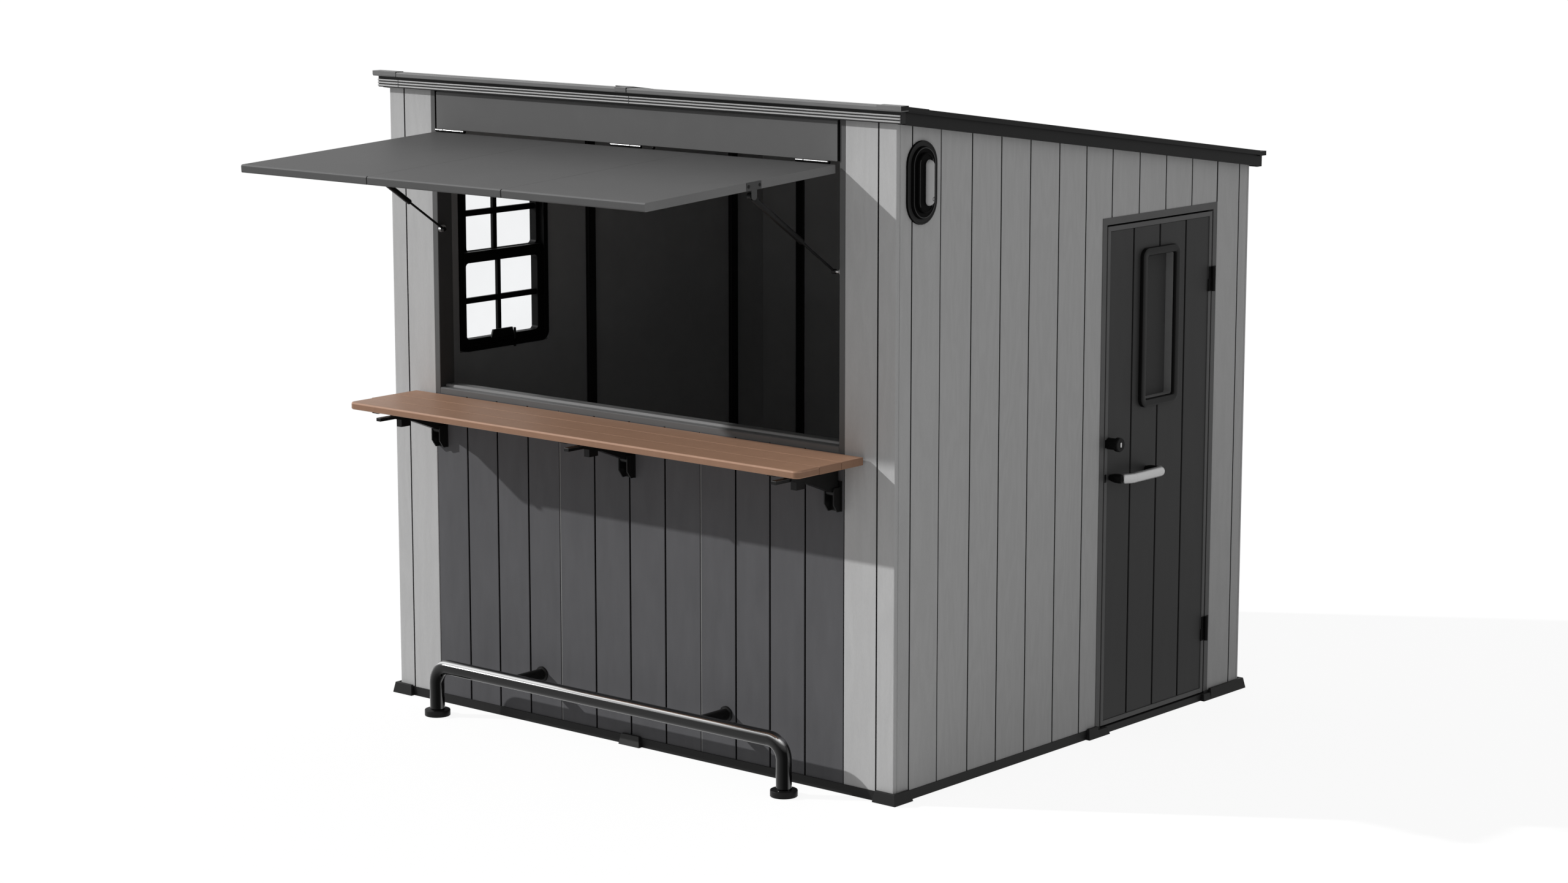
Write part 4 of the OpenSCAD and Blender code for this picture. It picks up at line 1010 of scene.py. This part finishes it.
flap_boards = Shape()
FLAP_CUTS = [-FLAP_HALF, -FLAP_HALF / 3, FLAP_HALF / 3, FLAP_HALF]
for i in range(3):
    a, b = FLAP_CUTS[i], FLAP_CUTS[i + 1]
    stops = [(a + 0.0005, NOTCH), (a + 0.0016, NOTCH), (a + 0.0024, 0.0)] if i > 0 else [(a, 0.0)]
    stops += [(b - 0.0024, 0.0), (b - 0.0016, NOTCH), (b - 0.0005, NOTCH)] if i < 2 else [(b, 0.0)]
    flap_boards.rings([[(x, y, z) for y, z in flap_section(FLAP_FRONT - back)] for x, back in stops])
flap_mats = [FLAP, FLAP_FACE_LIT, FLAP_SIDE_LIT, FLAP_ROUND_HIGHLIGHT]
flap = flap_boards.piece("flap_boards", flap_mats, "flap_board", "awning_flap", "flap")
# Painted light: the front face and the side ends lighter than the top, and the rounded top front edge as a
# painted highlight.
paint_faces(flap, 1, lambda c, n: n.y < -0.94 and abs(n.x) < 0.5)
paint_faces(flap, 3, lambda c, n: -0.94 < n.y < -0.15 and n.z > 0.2 and abs(n.x) < 0.5)
paint_faces(flap, 2, lambda c, n: abs(n.x) > 0.7 and abs(c.x) > FLAP_HALF - 0.001)

# Dark collars on the flap's hinges, and the screws of its strut brackets
COLLAR_GAP = 0.1025
collars = Shape()
for x in (-0.898, -0.0145, 0.869):
    low = x + 0.0335 if x < 0 else x - COLLAR_GAP
    for start, long in ((low, 0.003), (low + COLLAR_GAP, 0.005)):
        collars.lathe((start, HINGE.y, HINGE.z), OUT, [(0, 0.0053), (long, 0.0053)], 20)
collars.piece("flap_hinge_collars", BLACK, "bright_steel")
screws = Shape()
screw_profile = [(0, 0.0055), (0.0016, 0.0055), (0.0024, 0.0035)]
SCREW_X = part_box("flap_strut_brackets")[1].x - 0.0005
for side in (-1, 1):
    for offset in (-0.026, 0.026):
        y, z = flap_point(0.397 + offset, 0.019)
        screws.lathe((side * SCREW_X, y, z), (side, 0, 0), screw_profile, 16)
screws.piece("flap_bracket_screws", BLACK_METAL, "black_metal", body="flap")

# Gas struts between the flap and the jambs
pivot = Vector(JOINTS["strut_right_fold"]["pos_m"])
END_Y, END_Z = -1.000, 1.703
BARREL_SHARE = 0.61
PIN_END = HATCH_CLEAR - 0.0045


def gas_strut(name, side, node):
    x = side * pivot.x
    start = Vector((x, pivot.y, pivot.z))
    end = Vector((x, END_Y, END_Z))
    axis = end - start
    total = axis.length
    barrel = BARREL_SHARE * total
    shape = Shape()
    shape.lathe(start, axis, [(0.012, 0.004), (0.014, 0.0085), (0.017, 0.0095), (barrel - 0.003, 0.0095),
                              (barrel - 0.001, 0.0088), (barrel, 0.0075)], 32)
    shape.lathe(start, axis, [(barrel - 0.006, 0.004), (total - 0.006, 0.004)], 24)
    for point, r in ((start, 0.010), (end, 0.008)):
        eye = [(0, r - 0.0015), (0.0015, r), (0.0145, r), (0.016, r - 0.0015)]
        shape.lathe(point - Vector((0.008, 0, 0)), OUT, eye, 28)
    shape.piece(name, BLACK_METAL, "black_metal", node, node, smooth=True)
    reach = PIN_END - abs(x)
    Shape().lathe(end, (side, 0, 0), [(0.006, 0.0048), (reach - 0.0006, 0.005), (reach, 0.0044)], 24).piece(
        name + "_pin", SATIN, "bright_steel", body=node, smooth=True)


gas_strut("left_gas_strut", -1, "strut_left")
gas_strut("right_gas_strut", 1, "strut_right")

# Plates on the jambs that the struts' pins rest against
plates = Shape()
PLATE_Y = END_Y + 0.015
for side in (-1, 1):
    rings = []
    for lift, inset in ((0.0, 0.0), (0.0026, 0.0), (0.0034, 0.0005), (0.0039, 0.0014)):
        outline = stadium(0.024 - 2 * inset, 0.036 - 2 * inset, 14)
        rings.append([(side * (HATCH_CLEAR - lift), PLATE_Y + b, END_Z + a) for a, b in outline])
    plates.rings(rings)
plates.piece("strut_end_plates", PLATE, "bright_steel", "strut_studs", smooth=True)

# Counter of three planks
PLANK_LO, PLANK_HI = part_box("counter_planks")
PLANK_W = 0.107
PLANK_GAP = 0.002
NOSE_R = 0.022
NOSE_Y = PLANK_LO.y + NOSE_R
NOSE_BACK = PLANK_HI.y - 2 * (PLANK_W + PLANK_GAP)
planks = Shape()
for i in range(2):
    back = PLANK_HI.y - i * (PLANK_W + PLANK_GAP)
    front = back - PLANK_W
    z0, z1 = PLANK_LO.z, PLANK_HI.z
    edge = [(front, z0), (back, z0), (back, z1 - 0.001), (back - 0.001, z1), (front + 0.001, z1),
            (front, z1 - 0.001)]
    planks.prism(edge, PLANK_LO.x, PLANK_HI.x)


def nose_outline(inset):
    """Plan of the front plank, drawn in from its rounded front and ends."""
    r = NOSE_R - inset
    x = PLANK_HI.x - inset
    points = [(-x, NOSE_BACK), (-x, NOSE_Y)]
    for sx, start in ((-1, 180), (1, 270)):
        points += arc(sx * (PLANK_HI.x - NOSE_R), NOSE_Y, r, start, start + 90, 8)[1:]
    return points + [(x, NOSE_BACK)]


nose_profile = [(0.003, 0), (0, 0.003), (0, 0.019), (0.0008, 0.022), (0.0026, 0.0242), (0.006, 0.025)]
planks.rings([[(x, y, PLANK_LO.z + z) for x, y in nose_outline(inset)] for inset, z in nose_profile])
counter_mats = [COUNTER, COUNTER_FACE_SHADED, COUNTER_EDGE_HIGHLIGHT]
counter = planks.piece("counter_boards", counter_mats, "counter_wood", "counter_planks", "counter")
# Painted shade on the upright faces, painted highlight on the rounded front edge.
paint_faces(counter, 1, lambda c, n: abs(n.z) < 0.2)
paint_faces(counter, 2, lambda c, n: 0.15 < n.z < 0.9 and c.y < NOSE_Y)

# Tops of the bracket levers and screws of the bracket plates
LEVER_Z = 1.0708
levers = Shape()
arm_screws = Shape()
arm_screw = [(0, 0.006), (0.0016, 0.006), (0.0026, 0.0035)]
for x in (-0.898, 0.0, 0.898):
    levers.block((x - 0.0105, -1.3148, LEVER_Z), (x + 0.0105, -1.2180, LEVER_Z + 0.0024))
    for z in (1.012, 0.952):
        arm_screws.lathe((x, FRONT_Y - 0.0045, z), (0, -1, 0), arm_screw, 16)
levers.piece("bracket_lever_tops", LEVER_TOP, "black_metal", body="counter", bevel=0.0008)
arm_screws.piece("bracket_plate_screws", SATIN, "bright_steel")

# Foot rail bent from one tube, with wall stand-offs and floor discs
TUBE_LO, TUBE_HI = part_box("foot_rail")
TUBE_R = 0.024
SEEN_R = 0.0262
BEND_R = 0.062
POST_X = TUBE_HI.x - TUBE_R
TUBE_Z = TUBE_HI.z - TUBE_R + 0.004
TUBE_Y = TUBE_LO.y + TUBE_R
STANDOFF_X = 0.426
STANDOFF_L = FRONT_Y - TUBE_Y - 0.010
path = [(-POST_X, TUBE_LO.z)]
for sx, start in ((-1, 180), (1, 90)):
    path += arc(sx * (POST_X - BEND_R), TUBE_Z - BEND_R, BEND_R, start, start - 90, 16)
path.append((POST_X, TUBE_LO.z))
# The tube's bright top band and the light line down its posts are painted highlight.
Shape().sweep([Vector((x, TUBE_Y, z)) for x, z in path], [SEEN_R] * len(path), Vector((0, 1, 0))).piece(
    "foot_rail_tube", RAIL_STEEL_PAINTED_SHINE, "rail_steel", "foot_rail", smooth=True)
DISC_LO, DISC_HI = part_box("foot_rail_discs")
DISC_R = (DISC_HI.y - DISC_LO.y) / 2
DISC_H = DISC_HI.z
standoff_profile = [(0, 0.027), (0.004, 0.027), (0.006, 0.0255), (0.0068, 0.0225), (0.0075, 0.020),
                    (STANDOFF_L, 0.020)]
disc_profile = [(0, DISC_R - 0.001), (0.001, DISC_R), (DISC_H - 0.003, DISC_R),
                (DISC_H - 0.001, DISC_R - 0.001), (DISC_H, DISC_R - 0.0035)]
standoffs = Shape()
discs = Shape()
for side in (-1, 1):
    standoffs.lathe((side * STANDOFF_X, FRONT_Y, TUBE_Z), (0, -1, 0), standoff_profile, 36)
    discs.lathe((side * POST_X, TUBE_Y, 0), (0, 0, 1), disc_profile, 48)
standoffs.piece("foot_rail_standoffs", BLACK_METAL, "rail_steel", smooth=True)
discs.piece("foot_rail_floor_discs", BLACK_METAL, "black_metal", "foot_rail_discs", smooth=True)


# Floor, backdrop, light and camera
def seen_directly(tree):
    """One for rays from the camera, off metal and through glass, and nought for the light on the object."""
    rays = add_node(tree, "LightPath").outputs
    first = math_node(tree, "MAXIMUM", rays["Is Camera Ray"], rays["Is Glossy Ray"])
    return math_node(tree, "MAXIMUM", first, rays["Is Transmission Ray"])


FAR = 60
floor_mesh = bpy.data.meshes.new("floor")
floor_mesh.from_pydata([(x, y, 0) for x, y in rectangle(-FAR, FAR, -FAR, FAR)], [], [(0, 1, 2, 3)])
floor = add_to_scene("floor", floor_mesh)
floor.location.z = -0.001
floor_mat, floor_tree, floor_shader = new_material("floor", Roughness=0.9)
floor_tone = colour_ramp(floor_tree, noise_node(floor_tree, 0.6), [(0.3, grey(0.70)), (0.7, grey(0.74))])
feed(floor_tree, floor_shader.inputs["Base Color"], floor_tone)
floor_seen = add_node(floor_tree, "AddShader")
floor_glow = add_node(floor_tree, "Emission", Strength=0.90)
floor_matt = add_node(floor_tree, "BsdfDiffuse", Color=(*grey(0.16), 1.0))
feed(floor_tree, floor_seen.inputs[0], floor_glow.outputs[0])
feed(floor_tree, floor_seen.inputs[1], floor_matt.outputs[0])
floor_mix = mix_shaders(floor_tree, seen_directly(floor_tree), floor_shader, floor_seen)
feed(floor_tree, floor_tree.nodes["Material Output"].inputs["Surface"], floor_mix)
floor_mesh.materials.append(floor_mat)

world = bpy.data.worlds.new("studio")
world.use_nodes = True
sky = world.node_tree
sky.nodes.clear()
sky_light = add_node(sky, "Background", Strength=0.42)
sky_seen = add_node(sky, "Background", Color=(1, 1, 1, 1), Strength=1.0)
add_node(sky, "OutputWorld", Surface=mix_shaders(sky, seen_directly(sky), sky_light, sky_seen))
bpy.context.scene.world = world

SUN_WAY = Vector((1.52, 1.0, -0.964))
sun_data = bpy.data.lights.new("key", "SUN")
sun_data.energy = 2.4
sun_data.angle = radians(1.0)
sun = add_to_scene("key", sun_data)
sun.rotation_euler = SUN_WAY.to_track_quat("-Z", "Y").to_euler()

camera_data = bpy.data.cameras.new("camera")
camera_data.lens = 80.62
camera_data.sensor_width = 36.0
camera_data.sensor_fit = "HORIZONTAL"
camera = add_to_scene("camera", camera_data)
camera.location = (7.9110, -9.5386, 3.1390)
camera.rotation_euler = (radians(79.826), 0.0, radians(40.281))
bpy.context.scene.camera = camera
bpy.context.scene.view_settings.view_transform = "Standard"
